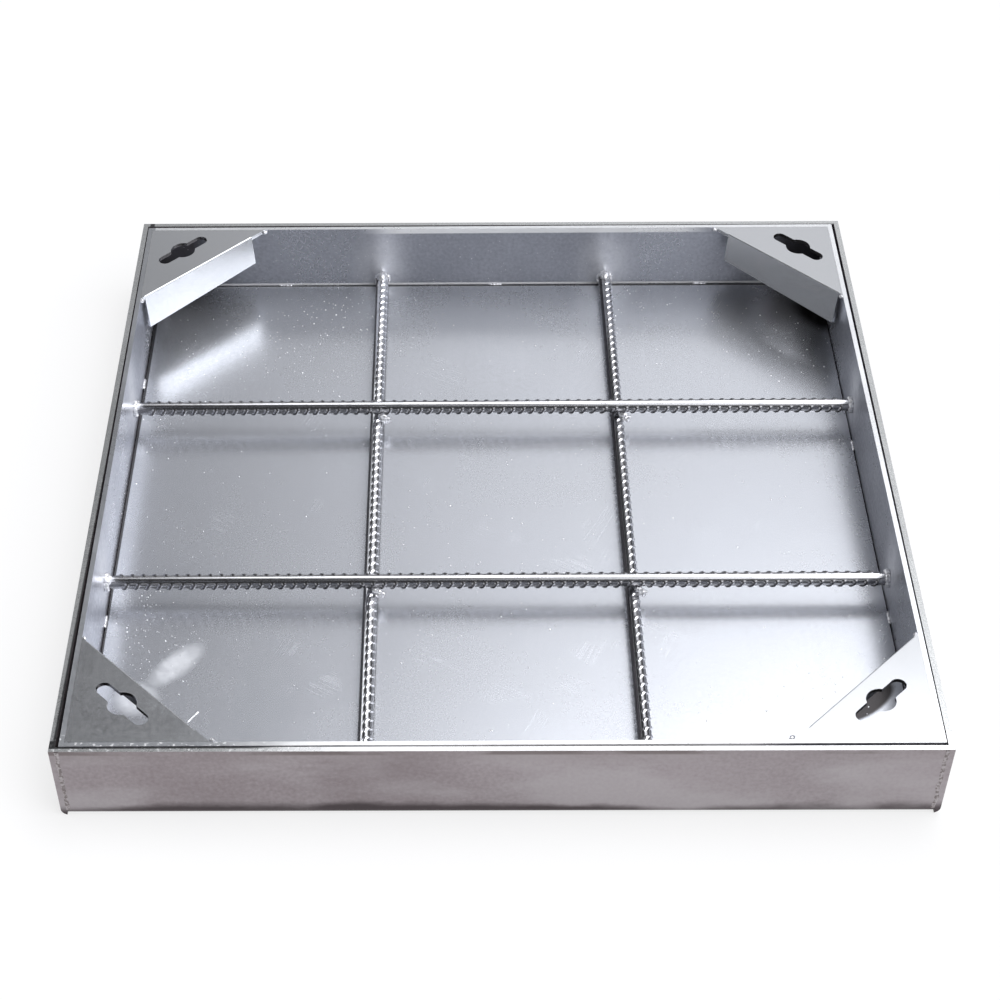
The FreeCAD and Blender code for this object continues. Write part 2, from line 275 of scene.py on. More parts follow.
def make_rolled_sheet():
    inputs = (("Cloud Scale", 8.0), ("Grain Scale", 620.0), ("Waves", 4.0))
    tree, entry, result = start_group("rolled_sheet", inputs, ("Tone", "Height", "Scratch"))
    place = on_object(tree)
    broad = clouds(tree, place, entry["Cloud Scale"], detail=4.0)
    streaks = clouds(tree, stretched(tree, place, STREAKS), scale=1.0, detail=3.0)
    fine = clouds(tree, place, FINE_SCALE)
    tone = calc(tree, "ADD", times(tree, broad, BROAD_SHARE), times(tree, streaks, STREAK_SHARE))
    tone = calc(tree, "ADD", tone, times(tree, fine, FINE_SHARE))
    tree.links.new(spread(tree, tone, *TONE_RANGE), result["Tone"])
    grain = clouds(tree, place, entry["Grain Scale"])
    waves = clouds(tree, place, WAVE_SCALE, detail=1.0)
    height = calc(tree, "ADD", grain, times(tree, waves, entry["Waves"]))
    tree.links.new(height, result["Height"])
    lines = []
    for scale, turn_deg, patch_turn_deg in SCRATCH_SETS:
        wave = clouds(tree, stretched(tree, place, scale, turn_deg), scale=1.0, detail=1.0)
        away = calc(tree, "ABSOLUTE", calc(tree, "SUBTRACT", wave, CLOUD_MIDDLE))
        line = spread(tree, away, SCRATCH_HALF_WIDTH, 0.0)
        kept = clouds(tree, turned(tree, place, patch_turn_deg), SCRATCH_PATCH_SCALE)
        lines.append(times(tree, line, spread(tree, kept, *SCRATCH_PATCH_RANGE)))
    tree.links.new(total(tree, lines), result["Scratch"])
    return tree


ROLLED_SHEET = make_rolled_sheet()
print("group", ROLLED_SHEET.name, "with", len(ROLLED_SHEET.nodes), "nodes")

# %% [markdown]
# Edges that were cut, ground or knocked are brighter than the faces. They could be painted by
# hand, but the Bevel node finds them: it gives the normal that a rounded edge would have, and
# where that differs from the face's own normal there is an edge. A cloud breaks the line up,
# because wear is never even.

# %% Worn edge group
EDGE_TURN = (0.995, 0.86)
WEAR_SCALE = 160.0
WEAR_RANGE = (0.3, 0.62)


def make_worn_edges():
    tree, entry, result = start_group("worn_edges", (("Radius", 0.0008), ("Break Up", 0.35)), ("Edge",))
    rounded = add(tree, "ShaderNodeBevel", samples=4)
    tree.links.new(entry["Radius"], rounded.inputs["Radius"])
    face = add(tree, "ShaderNodeNewGeometry").outputs["Normal"]
    edge = spread(tree, vector(tree, "DOT_PRODUCT", rounded.outputs["Normal"], face), *EDGE_TURN)
    patchy = spread(tree, clouds(tree, on_object(tree), WEAR_SCALE), *WEAR_RANGE)
    lost = times(tree, entry["Break Up"], calc(tree, "SUBTRACT", 1.0, patchy))
    tree.links.new(times(tree, edge, calc(tree, "SUBTRACT", 1.0, lost)), result["Edge"])
    return tree


WORN_EDGES = make_worn_edges()
print("group", WORN_EDGES.name, "with", len(WORN_EDGES.nodes), "nodes")

# %% [markdown]
# The tops of the frame and of the tray's walls were ground flush, so they are a shade brighter,
# with fine cross lines. They are the faces that look up at the full height of the cover. Along
# the front they are freshly ground, and a painted highlight makes them nearly white, apart from the
# left end, where only a few bright flecks of it show. Height and place tell which face is which,
# so nothing is painted by hand.

# %% Ground top group
TOP_START, TOP_FULL = 0.065, 0.0656
LOOKS_UP = (0.5, 0.9)
GRINDING_LINES = (900.0, 900.0, 1.0)
GRINDING_TURN_DEG = 31.0
GRINDING_RANGE = (0.35, 0.65)
FRONT_STRIP = (-0.284, -0.287)
FLECK_SCALE = 320.0
FLECK_RANGE = (0.55, 0.66)
FLECK_SHARE = 0.65
FRESH_FROM = (-0.17, -0.07)
FRESH_WANDER = 0.06
WANDER_SCALE = 60.0


def make_ground_top():
    tree, _, result = start_group("ground_top", (), ("Top", "Lines", "Fresh And Highlight"))
    place = on_object(tree)
    where = split(tree, place)
    up = split(tree, add(tree, "ShaderNodeNewGeometry").outputs["Normal"])["Z"]
    top = times(tree, spread(tree, where["Z"], TOP_START, TOP_FULL), spread(tree, up, *LOOKS_UP))
    tree.links.new(top, result["Top"])
    lines = stretched(tree, place, GRINDING_LINES, GRINDING_TURN_DEG)
    lines = clouds(tree, lines, scale=1.0, detail=1.0)
    tree.links.new(spread(tree, lines, *GRINDING_RANGE), result["Lines"])
    # the front strip of the tops gets a painted highlight, full from the middle rightwards and in flecks at
    # the left
    flecks = spread(tree, clouds(tree, place, FLECK_SCALE), *FLECK_RANGE, 0.0, FLECK_SHARE)
    wander = times(tree, clouds(tree, place, WANDER_SCALE), FRESH_WANDER)
    highlight_from_middle = spread(tree, calc(tree, "ADD", where["X"], wander), *FRESH_FROM)
    front = spread(tree, where["Y"], *FRONT_STRIP)
    tree.links.new(times(tree, top, front, calc(tree, "MAXIMUM", flecks, highlight_from_middle)), result["Fresh And Highlight"])
    return tree


GROUND_TOP = make_ground_top()
print("group", GROUND_TOP.name, "with", len(GROUND_TOP.nodes), "nodes")

# %% [markdown]
# These are the places of the tray's main parts, in millimetres, as the CAD model has them. They
# could be measured on its meshes, but a named value says what each place is. The tray lies a
# little askew in the frame, so whatever uses them is turned with it.

# %% Tray measures
MM = 0.001
INSIDE = 291.0
LONG_BAR_X = (-94.0, 101.0)
CROSS_BAR_Y = (-100.0, 100.0)
LOW_BAR_Z = 14.45
HIGH_BAR_Z = 26.345
TRAY_TURN = Matrix.Rotation(math.radians(0.15), 4, "Z")
BAR_ENDS = [(x, end, LOW_BAR_Z) for x in LONG_BAR_X for end in (-INSIDE, INSIDE)]
BAR_ENDS += [(end, y, HIGH_BAR_Z) for y in CROSS_BAR_Y for end in (-INSIDE, INSIDE)]
print("bar ends:", len(BAR_ENDS))

# %% [markdown]
# Round each weld the heat leaves a pale smoky halo on the plate, tallest above the weld. The eight
# ends of the bars make the ones that show. They could be painted on, but then they would have to
# be painted again when a bar moves. So the group adds up eight soft spots, each a distance from a
# bar's end, with heights counted at less than their size so that the spot is tall.

# %% Weld halo group
HALO_RISE = 13.0
HALO_SHAPE = (1.0, 1.0, 0.7)
HALO_CORE = 0.002
SMOKE_SCALE = 90.0
SMOKE_RANGE = (0.25, 0.6)
SMOKE_THINNEST = 0.55


def make_weld_halo():
    tree, entry, result = start_group("weld_halo", (("Reach", 0.034),), ("Halo",))
    place = on_object(tree)
    spots = []
    for x, y, z in BAR_ENDS:
        offset = vector(tree, "SUBTRACT", place, TRAY_TURN @ Vector((x, y, z + HALO_RISE)) * MM)
        away = vector(tree, "LENGTH", vector(tree, "MULTIPLY", offset, HALO_SHAPE))
        spots.append(spread(tree, away, entry["Reach"], HALO_CORE))
    smoke_and_shade = clouds(tree, place, SMOKE_SCALE, detail=3.0)
    smoke_and_shade = spread(tree, smoke_and_shade, *SMOKE_RANGE, SMOKE_THINNEST, 1.0)
    tree.links.new(times(tree, total(tree, spots), smoke_and_shade), result["Halo"])
    return tree


WELD_HALO = make_weld_halo()
print("group", WELD_HALO.name, "with", len(WELD_HALO.nodes), "nodes")

# %% [markdown]
# Now the finishes. The plates are bare metal under a thin dull skin of oxide, so their Metallic is
# a little under 1. Each could be a network of its own, but the helper below does what all of them
# have in common: two shades and two roughnesses that follow the rolled sheet, with scratches and
# worn edges over them. What is special about one plate is mixed in afterwards, by a function that
# the plate brings along.

# %% Plate finish helper
EDGE_SHARE = 0.8
SCRATCH_SHARE = 0.16
SCRATCH_ROUGHNESS = 0.03
WORN_BRIGHTER = 1.22


def start_steel(name, metallic):
    material = bpy.data.materials.new(name)
    material.use_nodes = True
    tree = material.node_tree
    shader = tree.nodes["Principled BSDF"]
    shader.inputs["Metallic"].default_value = metallic
    return material, tree, shader


def finish_steel(tree, shader, colour, roughness, height, depth):
    """Joins colour, roughness and a bump of the given depth in metres to the shader."""
    tree.links.new(colour, shader.inputs["Base Color"])
    tree.links.new(roughness, shader.inputs["Roughness"])
    bump = add(tree, "ShaderNodeBump")
    bump.inputs["Strength"].default_value = 1.0
    bump.inputs["Distance"].default_value = depth
    tree.links.new(height, bump.inputs["Height"])
    tree.links.new(bump.outputs["Normal"], shader.inputs["Normal"])


def plate_steel(name, metallic, dark, light, smooth, rough, depth, marks, grain_scale=620.0):
    """Rolled plate between two shades and two roughnesses, with its own marks over them."""
    material, tree, shader = start_steel(name, metallic)
    sheet = place_group(tree, ROLLED_SHEET, Grain_Scale=grain_scale)
    edge = place_group(tree, WORN_EDGES)["Edge"]
    colour = mix(tree, sheet["Tone"], (*dark, 1), (*light, 1))
    wear_and_highlight = [min(1.0, value * WORN_BRIGHTER) for value in light]
    wear = total(tree, [times(tree, sheet["Scratch"], SCRATCH_SHARE), times(tree, edge, EDGE_SHARE)])
    colour = mix(tree, wear, colour, (*wear_and_highlight, 1))
    roughness = spread(tree, sheet["Tone"], 0.0, 1.0, rough, smooth)
    roughness = calc(tree, "ADD", roughness, times(tree, sheet["Scratch"], SCRATCH_ROUGHNESS))
    colour, roughness, *varying_metallic = marks(tree, colour, roughness)
    for entry in varying_metallic:
        tree.links.new(entry, shader.inputs["Metallic"])
    finish_steel(tree, shader, colour, roughness, sheet["Height"], depth)
    return material


print("plate helper ready")

# %% [markdown]
# Some marks are a soft oval in one place, such as a smear. Others lie close to the tray's corners.
# And both the floor and the walls carry the weld halos. These three helpers serve the finishes
# that follow.

# %% Mark helpers
HALO_WHITE = (0.86, 0.87, 0.9, 1)
HALO_SHARE = 0.75
HALO_ROUGHNESS = 0.16


def oval(tree, spot):
    """A soft oval on the floor, 1 in its middle and 0 past its edge."""
    middle, (half_length, half_width), turn_deg, core = spot
    place = turned(tree, vector(tree, "SUBTRACT", on_object(tree), middle), -turn_deg)
    away = vector(tree, "LENGTH", vector(tree, "MULTIPLY", place, (1 / half_length, 1 / half_width, 0.0)))
    return spread(tree, away, 1.0, core)


def near_corner(tree, start, full):
    """1 close to the tray's corners, by the sum of the distances from the middle along X and Y."""
    apart = split(tree, vector(tree, "ABSOLUTE", on_object(tree)))
    return spread(tree, calc(tree, "ADD", apart["X"], apart["Y"]), start, full)


def with_halo(tree, colour, roughness):
    halo = place_group(tree, WELD_HALO)["Halo"]
    colour = mix(tree, times(tree, halo, HALO_SHARE), colour, HALO_WHITE)
    return colour, calc(tree, "ADD", roughness, times(tree, halo, HALO_ROUGHNESS))


print("mark helpers ready")

# %% [markdown]
# The tray's floor is its brightest and most even plate. Someone rubbed one spot near the front left
# corner, which left a pale smear about 60 mm long. A pale patch under the front left keyhole is a
# painted reflection. Painted shade darkens the floor under the two right corner plates and in the gap
# round the plate, at the left and at the back. All of these are masks by place, mixed over the
# rolled sheet, so the sheet's own clouds still show through them.

# %% Tray floor finish
# middle in metres, half length and half width, turn in degrees, share of the oval that is full
SMEAR = ((-0.2338, -0.1668, 0.0), (0.033, 0.0138), 51.0, 0.25)
# a painted reflection on the floor, seen through the front left keyhole
PAINTED_KEYHOLE_REFLECTION = ((-0.259, -0.2, 0.0), (0.02, 0.02), 0.0, 0.25)
# the three ovals below are painted shade under the two right corner plates
BACK_RIGHT_SHADE = ((0.245, 0.255, 0.0), (0.07, 0.04), -20.0, 0.0)
SHADE_UNDER_BACK_RIGHT_PLATE = ((0.284, 0.244, 0.0), (0.036, 0.021), -55.0, 0.35)
SHADE_UNDER_FRONT_RIGHT_PLATE = ((0.2615, -0.204, 0.0), (0.032, 0.0135), 40.0, 0.75)
SMEAR_AND_REFLECTION_WHITE = (0.9, 0.91, 0.92, 1)
BACK_RIGHT_SHADE_BROWN = (0.2, 0.18, 0.185, 1)
PLATE_AND_GAP_SHADE_BLACK = (0.03, 0.025, 0.024, 1)
SMEAR_AND_REFLECTION_SHARE, BACK_RIGHT_SHADE_SHARE, PLATE_AND_GAP_SHADE_SHARE = 0.55, 0.45, 0.96
SMEAR_AND_REFLECTION_ROUGHNESS = 0.3
SMEAR_AND_REFLECTION_SCALE = 210.0
SMEAR_AND_REFLECTION_RANGE = (0.2, 0.8)
SMEAR_AND_REFLECTION_THINNEST = 0.45
GAP_EDGE = (0.288, 0.2886)
GAP_SHADE = 0.9


def floor_marks(tree, colour, roughness):
    colour, roughness = with_halo(tree, colour, roughness)
    soft = clouds(tree, on_object(tree), SMEAR_AND_REFLECTION_SCALE, detail=4.0)
    # the first oval is a real smear, the second a painted reflection under the front left keyhole
    smear_and_reflection = calc(tree, "MAXIMUM", oval(tree, SMEAR), oval(tree, PAINTED_KEYHOLE_REFLECTION))
    smear_and_reflection = times(tree, smear_and_reflection, spread(tree, soft, *SMEAR_AND_REFLECTION_RANGE, SMEAR_AND_REFLECTION_THINNEST, 1.0))
    colour = mix(tree, times(tree, smear_and_reflection, SMEAR_AND_REFLECTION_SHARE), colour, SMEAR_AND_REFLECTION_WHITE)
    # painted shade, soft and brownish, under the back right corner plate
    colour = mix(tree, times(tree, oval(tree, BACK_RIGHT_SHADE), BACK_RIGHT_SHADE_SHARE), colour, BACK_RIGHT_SHADE_BROWN)
    # painted shade under the right corner plates and in the gap round the floor at the left and back
    plate_and_gap_shade = calc(tree, "MAXIMUM", oval(tree, SHADE_UNDER_BACK_RIGHT_PLATE), oval(tree, SHADE_UNDER_FRONT_RIGHT_PLATE))
    where = split(tree, on_object(tree))
    outward = calc(tree, "MAXIMUM", times(tree, where["X"], -1.0), where["Y"])
    plate_and_gap_shade = calc(tree, "MAXIMUM", plate_and_gap_shade, spread(tree, outward, *GAP_EDGE, 0.0, GAP_SHADE))
    colour = mix(tree, times(tree, plate_and_gap_shade, PLATE_AND_GAP_SHADE_SHARE), colour, PLATE_AND_GAP_SHADE_BLACK)
    return colour, calc(tree, "ADD", roughness, times(tree, smear_and_reflection, SMEAR_AND_REFLECTION_ROUGHNESS))


FLOOR_STEEL = plate_steel("floor_steel", metallic=0.82, dark=(0.59, 0.605, 0.64), light=(0.68, 0.70, 0.745),
                          smooth=0.23, rough=0.28, depth=1.2e-5, marks=floor_marks)
print("finish:", FLOOR_STEEL.name)

# %% [markdown]
# The tray's walls are a little bluer and cloudier. Their tops are ground, dull at the left and
# freshly ground along the front, where a painted highlight makes them white. There the outer face is
# painted white too, as painted light that fills the narrow slot between tray and frame. A thin
# painted highlight runs along the foot of the back wall. Painted shade darkens the walls under the
# corner plates. Each of these could be a strip of mesh with a material of its own, but masks by
# place and by the way a face looks leave every wall in one piece. Where the steel is white it reads
# as matt paint rather than as a mirror, so Metallic drops.

# %% Tray wall finish
TOP_BRIGHT = (0.8, 0.81, 0.82, 1)
TOP_DULL = (0.38, 0.39, 0.405, 1)
FRESH_HIGHLIGHT_WHITE = (0.92, 0.92, 0.92, 1)
UNDER_PLATE_SHADE_BLACK = (0.07, 0.06, 0.06, 1)
FOOT_HIGHLIGHT_WHITE = (0.97, 0.97, 0.98, 1)
SLOT_PAINTED_LIGHT = (0.97, 0.97, 0.97, 1)
DULL_FRONT_X = (-0.1, -0.17)
DULL_LEFT_X = (-0.289, -0.2895)
UNDER_PLATE_SHADE_CORNER = (0.525, 0.55)
UNDER_PLATE_SHADE_HEIGHT = (0.062, 0.055)
UNDER_PLATE_SHADE_SHARE = 0.85
FOOT_FROM, FOOT_TO = (0.0068, 0.0073), (0.0096, 0.0088)
BACK_WALL_Y = (0.287, 0.29)
FACES_FRONT = (-0.5, -0.9)
SLOT_HEIGHT = (0.0605, 0.062)
SLOT_LEFT, SLOT_RIGHT = (-0.12, -0.07), (0.2, 0.16)
METALLIC_OXIDE = 0.8
WALL_METALLIC_DROP = 0.65


def wall_marks(tree, colour, roughness):
    colour, roughness = with_halo(tree, colour, roughness)
    where = split(tree, on_object(tree))
    top = place_group(tree, GROUND_TOP)
    dull = times(tree, spread(tree, where["X"], *DULL_FRONT_X), spread(tree, where["Y"], *FRONT_STRIP))
    dull = calc(tree, "MAXIMUM", dull, spread(tree, where["X"], *DULL_LEFT_X))
    colour = mix(tree, top["Top"], colour, mix(tree, dull, TOP_BRIGHT, TOP_DULL))
    # painted highlight along the front tops, over the ground steel
    colour = mix(tree, top["Fresh And Highlight"], colour, FRESH_HIGHLIGHT_WHITE)
    # painted shade on the walls under the corner plates
    smoke_and_shade = times(tree, near_corner(tree, *UNDER_PLATE_SHADE_CORNER), spread(tree, where["Z"], *UNDER_PLATE_SHADE_HEIGHT))
    colour = mix(tree, times(tree, smoke_and_shade, UNDER_PLATE_SHADE_SHARE), colour, UNDER_PLATE_SHADE_BLACK)
    # a thin painted highlight at the foot of the back wall, just above the gap
    foot = times(tree, spread(tree, where["Z"], *FOOT_FROM), spread(tree, where["Z"], *FOOT_TO),
                 spread(tree, where["Y"], *BACK_WALL_Y))
    colour = mix(tree, foot, colour, FOOT_HIGHLIGHT_WHITE)
    # painted light: the outer face of the front wall turns white, so the slot beside it looks lit
    facing = split(tree, add(tree, "ShaderNodeNewGeometry").outputs["Normal"])
    slot = times(tree, spread(tree, facing["Y"], *FACES_FRONT), spread(tree, where["Z"], *SLOT_HEIGHT),
                 spread(tree, where["X"], *SLOT_LEFT), spread(tree, where["X"], *SLOT_RIGHT))
    colour = mix(tree, slot, colour, SLOT_PAINTED_LIGHT)
    whitened = total(tree, [top["Fresh And Highlight"], foot, slot])
    return colour, roughness, calc(tree, "SUBTRACT", METALLIC_OXIDE, times(tree, whitened, WALL_METALLIC_DROP))


WALL_STEEL = plate_steel("wall_steel", metallic=0.76, dark=(0.38, 0.395, 0.445), light=(0.67, 0.685, 0.745),
                         smooth=0.26, rough=0.4, depth=1.6e-5, marks=wall_marks)
print("finish:", WALL_STEEL.name)

# %% [markdown]
# The corner plates have dull tops and bright folded flanges. Their hidden sides and the cut faces of
# the keyholes are painted black as shade, and that is what shows through the keyholes. A material
# for each side would do too, but the CAD faces would have to be picked by hand. The way a face
# looks tells which it is: up, down, or away from the middle of the tray.

# %% Corner plate finish
DULL_GREY = (0.54, 0.55, 0.565, 1)
UNDERSIDE_SHADE_BLACK = (0.09, 0.085, 0.085, 1)
DULL_SHARE = 0.8
TOP_FACE = (0.6, 0.9)
UNDER_FACE = (-0.4, -0.8)
UPRIGHT_FACE = (0.6, 0.3)
BACK_OF_FLANGE = (0.2, 0.3)
BEHIND_FOLD = (0.493, 0.496)


def corner_marks(tree, colour, roughness):
    normal = add(tree, "ShaderNodeNewGeometry").outputs["Normal"]
    up = split(tree, normal)["Z"]
    outward = spread(tree, vector(tree, "DOT_PRODUCT", normal, on_object(tree)), *BACK_OF_FLANGE)
    down = spread(tree, up, *UNDER_FACE)
    upright = spread(tree, calc(tree, "ABSOLUTE", up), *UPRIGHT_FACE)
    keyhole = times(tree, near_corner(tree, *BEHIND_FOLD), upright)
    colour = mix(tree, spread(tree, up, *TOP_FACE, 0.0, DULL_SHARE), colour, DULL_GREY)
    # painted shade on the hidden sides of the plate and the cut faces of its keyholes
    return mix(tree, total(tree, [outward, down, keyhole]), colour, UNDERSIDE_SHADE_BLACK), roughness


CORNER_STEEL = plate_steel("corner_steel", metallic=0.86, dark=(0.62, 0.63, 0.64), light=(0.72, 0.73, 0.74),
                           smooth=0.18, rough=0.25, depth=1.0e-5, marks=corner_marks)
print("finish:", CORNER_STEEL.name)

# %% [markdown]
# The frame stands in mortar on site, so nobody cleans its outside: it is darker, brownish and
# cloudy. It is darkest along the bottom edge, and that is painted shade. One dark noise would look
# like dirt thrown at it, so layers of grime and of painted shade go over the steel one after the
# other, each where a cloud or the height above the ground says so, and the cloud makes the height
# wander. The top is ground. Painted shade blackens its inner rim at the front left, where the gap
# beside the tray looks widest, and that rim grows wider towards the front.

# %% Frame finish
GRIME_SHAPE = (9.0, 9.0, 26.0)
GRIME_AND_SHADE_WANDER = 0.03
# what it follows, where it starts and is full, its share there, its colour
GRIME_AND_SHADE_LAYERS = (
    ("clouds", (0.42, 0.66), 0.55, (0.44, 0.415, 0.43, 1)),
    ("height", (0.050, 0.066), 0.3, (0.27, 0.235, 0.235, 1)),
    # the last two layers are painted shade, darkest along the bottom edge
    ("height", (0.016, 0.001), 0.6, (0.2, 0.17, 0.175, 1)),
    ("height", (0.0145, 0.005), 0.9, (0.05, 0.038, 0.042, 1)),
)
EDGE_BROWN = (0.10, 0.075, 0.07, 1)
EDGE_HEIGHT = (0.0612, 0.0632)
EDGE_CLOUDS = (0.45, 0.56)
EDGE_BROWN_SHARE = 0.6
GROUND_DARK = (0.45, 0.46, 0.455, 1)
GROUND_LIGHT = (0.58, 0.585, 0.58, 1)
GROUND_SMOOTHER = 0.12
RIM_SHADE_BLACK = (0.025, 0.024, 0.026, 1)
RIM_SHADE_SHARE = 0.9
RIM_WIDENS = 0.006
LEFT_RIM, LEFT_LENGTH = (-0.29646, -0.29546), (-0.29, -0.291)
LEFT_RIM_END = (-0.2975, -0.2968)
FRONT_RIM, FRONT_LENGTH = (-0.2976, -0.297), (-0.29, -0.291)
FRONT_RIM_END = (-0.14, -0.17)
FRAME_METALLIC_DROP = 0.55


def frame_marks(tree, colour, roughness):
    place = on_object(tree)
    where = split(tree, place)
    cloud = clouds(tree, stretched(tree, place, GRIME_SHAPE), scale=1.0, detail=5.0)
    wander = times(tree, calc(tree, "SUBTRACT", cloud, CLOUD_MIDDLE), GRIME_AND_SHADE_WANDER)
    follows = {"clouds": cloud, "height": calc(tree, "ADD", where["Z"], wander)}
    # layers of grime, and of painted shade along the bottom edge
    for source, limits, share, layer_colour in GRIME_AND_SHADE_LAYERS:
        colour = mix(tree, times(tree, spread(tree, follows[source], *limits), share), colour, layer_colour)
    under_edge = times(tree, spread(tree, where["Z"], *EDGE_HEIGHT), spread(tree, cloud, *EDGE_CLOUDS))
    colour = mix(tree, times(tree, under_edge, EDGE_BROWN_SHARE), colour, EDGE_BROWN)
    top = place_group(tree, GROUND_TOP)
    colour = mix(tree, top["Top"], colour, mix(tree, top["Lines"], GROUND_DARK, GROUND_LIGHT))
    # painted highlight along the front top, over the ground steel
    colour = mix(tree, top["Fresh And Highlight"], colour, FRESH_HIGHLIGHT_WHITE)
    # painted shade on the inner rim of the top at the left and front left, where the gap beside the tray
    # looks widest
    inward = calc(tree, "SUBTRACT", where["X"], times(tree, where["Y"], RIM_WIDENS))
    left_rim = times(tree, spread(tree, inward, *LEFT_RIM), spread(tree, where["X"], *LEFT_LENGTH),
                     spread(tree, where["Y"], *LEFT_RIM_END))
    front_rim = times(tree, spread(tree, where["Y"], *FRONT_RIM), spread(tree, where["Y"], *FRONT_LENGTH),
                      spread(tree, where["X"], *FRONT_RIM_END))
    rim_shade = times(tree, calc(tree, "MAXIMUM", left_rim, front_rim), top["Top"], RIM_SHADE_SHARE)
    colour = mix(tree, rim_shade, colour, RIM_SHADE_BLACK)
    roughness = calc(tree, "SUBTRACT", roughness, times(tree, top["Top"], GROUND_SMOOTHER))
    metallic = calc(tree, "SUBTRACT", METALLIC_OXIDE, times(tree, top["Fresh And Highlight"], FRAME_METALLIC_DROP))
    return colour, roughness, metallic


FRAME_STEEL = plate_steel("frame_steel", metallic=0.8, dark=(0.24, 0.205, 0.215), light=(0.36, 0.325, 0.34),
                          smooth=0.34, rough=0.44, depth=4e-6, marks=frame_marks, grain_scale=480.0)
print("finish:", FRAME_STEEL.name)

# %% [markdown]
# The bars carry a painted highlight in some places and painted shade in others: the highlight runs
# along the spines of the cross bars and over the ribs of the long ones. A noise can't know where
# spines and ribs are, so the mesh carries a number at each point, from 0 where shade is painted to
# 1 where a highlight is painted, and the finish reads it.

# %% Bar finish
HIGHLIGHT_ATTRIBUTE = "highlight_share"
HOLLOW_SHADE_BLACK = (0.03, 0.028, 0.032, 1)
HOLLOW_SHADE_GREY = (0.075, 0.07, 0.075, 1)
HIGHLIGHT_BRIGHT = (0.84, 0.84, 0.86, 1)
BAR_SPOT_SCALE = 140.0
BAR_SPOT_RANGE = (0.2, 0.5)
HIGHLIGHT_THINNEST = 0.7
HOLLOW_ROUGHNESS, HIGHLIGHT_ROUGHNESS = 0.24, 0.17
BAR_GRAIN_SCALE = 1500.0
BAR_GRAIN_DEPTH = 3e-6


def make_bar_steel():
    material, tree, shader = start_steel("bar_steel", metallic=1.0)
    highlight_share = add(tree, "ShaderNodeAttribute", attribute_name=HIGHLIGHT_ATTRIBUTE).outputs["Fac"]
    place = on_object(tree)
    spots = clouds(tree, place, BAR_SPOT_SCALE, detail=3.0)
    # painted highlight where the mesh number is high, painted shade in the hollows where it is low
    wear_and_highlight = times(tree, highlight_share, spread(tree, spots, *BAR_SPOT_RANGE, HIGHLIGHT_THINNEST, 1.0))
    colour = mix(tree, wear_and_highlight, mix(tree, spots, HOLLOW_SHADE_BLACK, HOLLOW_SHADE_GREY), HIGHLIGHT_BRIGHT)
    roughness = spread(tree, wear_and_highlight, 0.0, 1.0, HOLLOW_ROUGHNESS, HIGHLIGHT_ROUGHNESS)
    finish_steel(tree, shader, colour, roughness, clouds(tree, place, BAR_GRAIN_SCALE), BAR_GRAIN_DEPTH)
    return material


BAR_STEEL = make_bar_steel()
print("finish:", BAR_STEEL.name)

# %% [markdown]
# Weld metal is pale, rough and rippled. A bump could draw the ripples too, but they stand out at
# the edge of a bead, so they are in the mesh, and only the fine roughness between them is a bump.
# On the outside of the frame the welds are stained like the frame, so the finish turns brown there.

# %% Weld finish
WELD_GREY = (0.62, 0.62, 0.64, 1)
WELD_WHITE = (0.93, 0.93, 0.94, 1)
STAIN_DARK = (0.20, 0.175, 0.175, 1)
STAIN_LIGHT = (0.40, 0.37, 0.38, 1)
WELD_SCALE = 420.0
WELD_RANGE, STAIN_RANGE, WELD_ROUGHNESS_RANGE = (0.38, 0.62), (0.4, 0.6), (0.3, 0.7)
WELD_ROUGH, WELD_SMOOTH = 0.42, 0.3
OUTSIDE_FRAME = (0.2985, 0.2995)
WELD_GRAIN_SCALE = 1300.0
WELD_GRAIN_DEPTH = 2.5e-5


def make_weld_metal():
    material, tree, shader = start_steel("weld_metal", metallic=0.85)
    place = on_object(tree)
    spots = clouds(tree, place, WELD_SCALE, detail=3.0)
    clean = mix(tree, spread(tree, spots, *WELD_RANGE), WELD_GREY, WELD_WHITE)
    stained = mix(tree, spread(tree, spots, *STAIN_RANGE), STAIN_DARK, STAIN_LIGHT)
    outside = spread(tree, calc(tree, "ABSOLUTE", split(tree, place)["Y"]), *OUTSIDE_FRAME)
    colour = mix(tree, outside, clean, stained)
    roughness = spread(tree, spots, *WELD_ROUGHNESS_RANGE, WELD_ROUGH, WELD_SMOOTH)
    grain = clouds(tree, place, WELD_GRAIN_SCALE, detail=3.0)
    finish_steel(tree, shader, colour, roughness, grain, WELD_GRAIN_DEPTH)
    return material


WELD_METAL = make_weld_metal()
print("finish:", WELD_METAL.name)

# %% [markdown]
# Every plate, bar and bead of the CAD model now gets its finish. They could be listed one by one,
# but each CAD node names the slot that its finish comes from, so the finishes are handed out by
# name, with no list of pieces to keep up to date.

# %% Give the CAD model its finishes
FINISH = {
    "frame_steel": FRAME_STEEL,
    "wall_steel": WALL_STEEL,
    "floor_steel": FLOOR_STEEL,
    "corner_steel": CORNER_STEEL,
    "bar_steel": BAR_STEEL,
    "weld_metal": WELD_METAL,
}
for part in frame["record"]["subparts"]:
    NODES[part["node"]].material_slots[0].material = FINISH[part["material_slot"]]
print("finishes:", list(FINISH))

# %% [markdown]
# A new piece is a list of points in millimetres and a list of faces. Blender's own tools could
# build it by clicks or operators, but a list says where each point is and why.

# %% Piece helper
SHARP_ANGLE = math.radians(38)


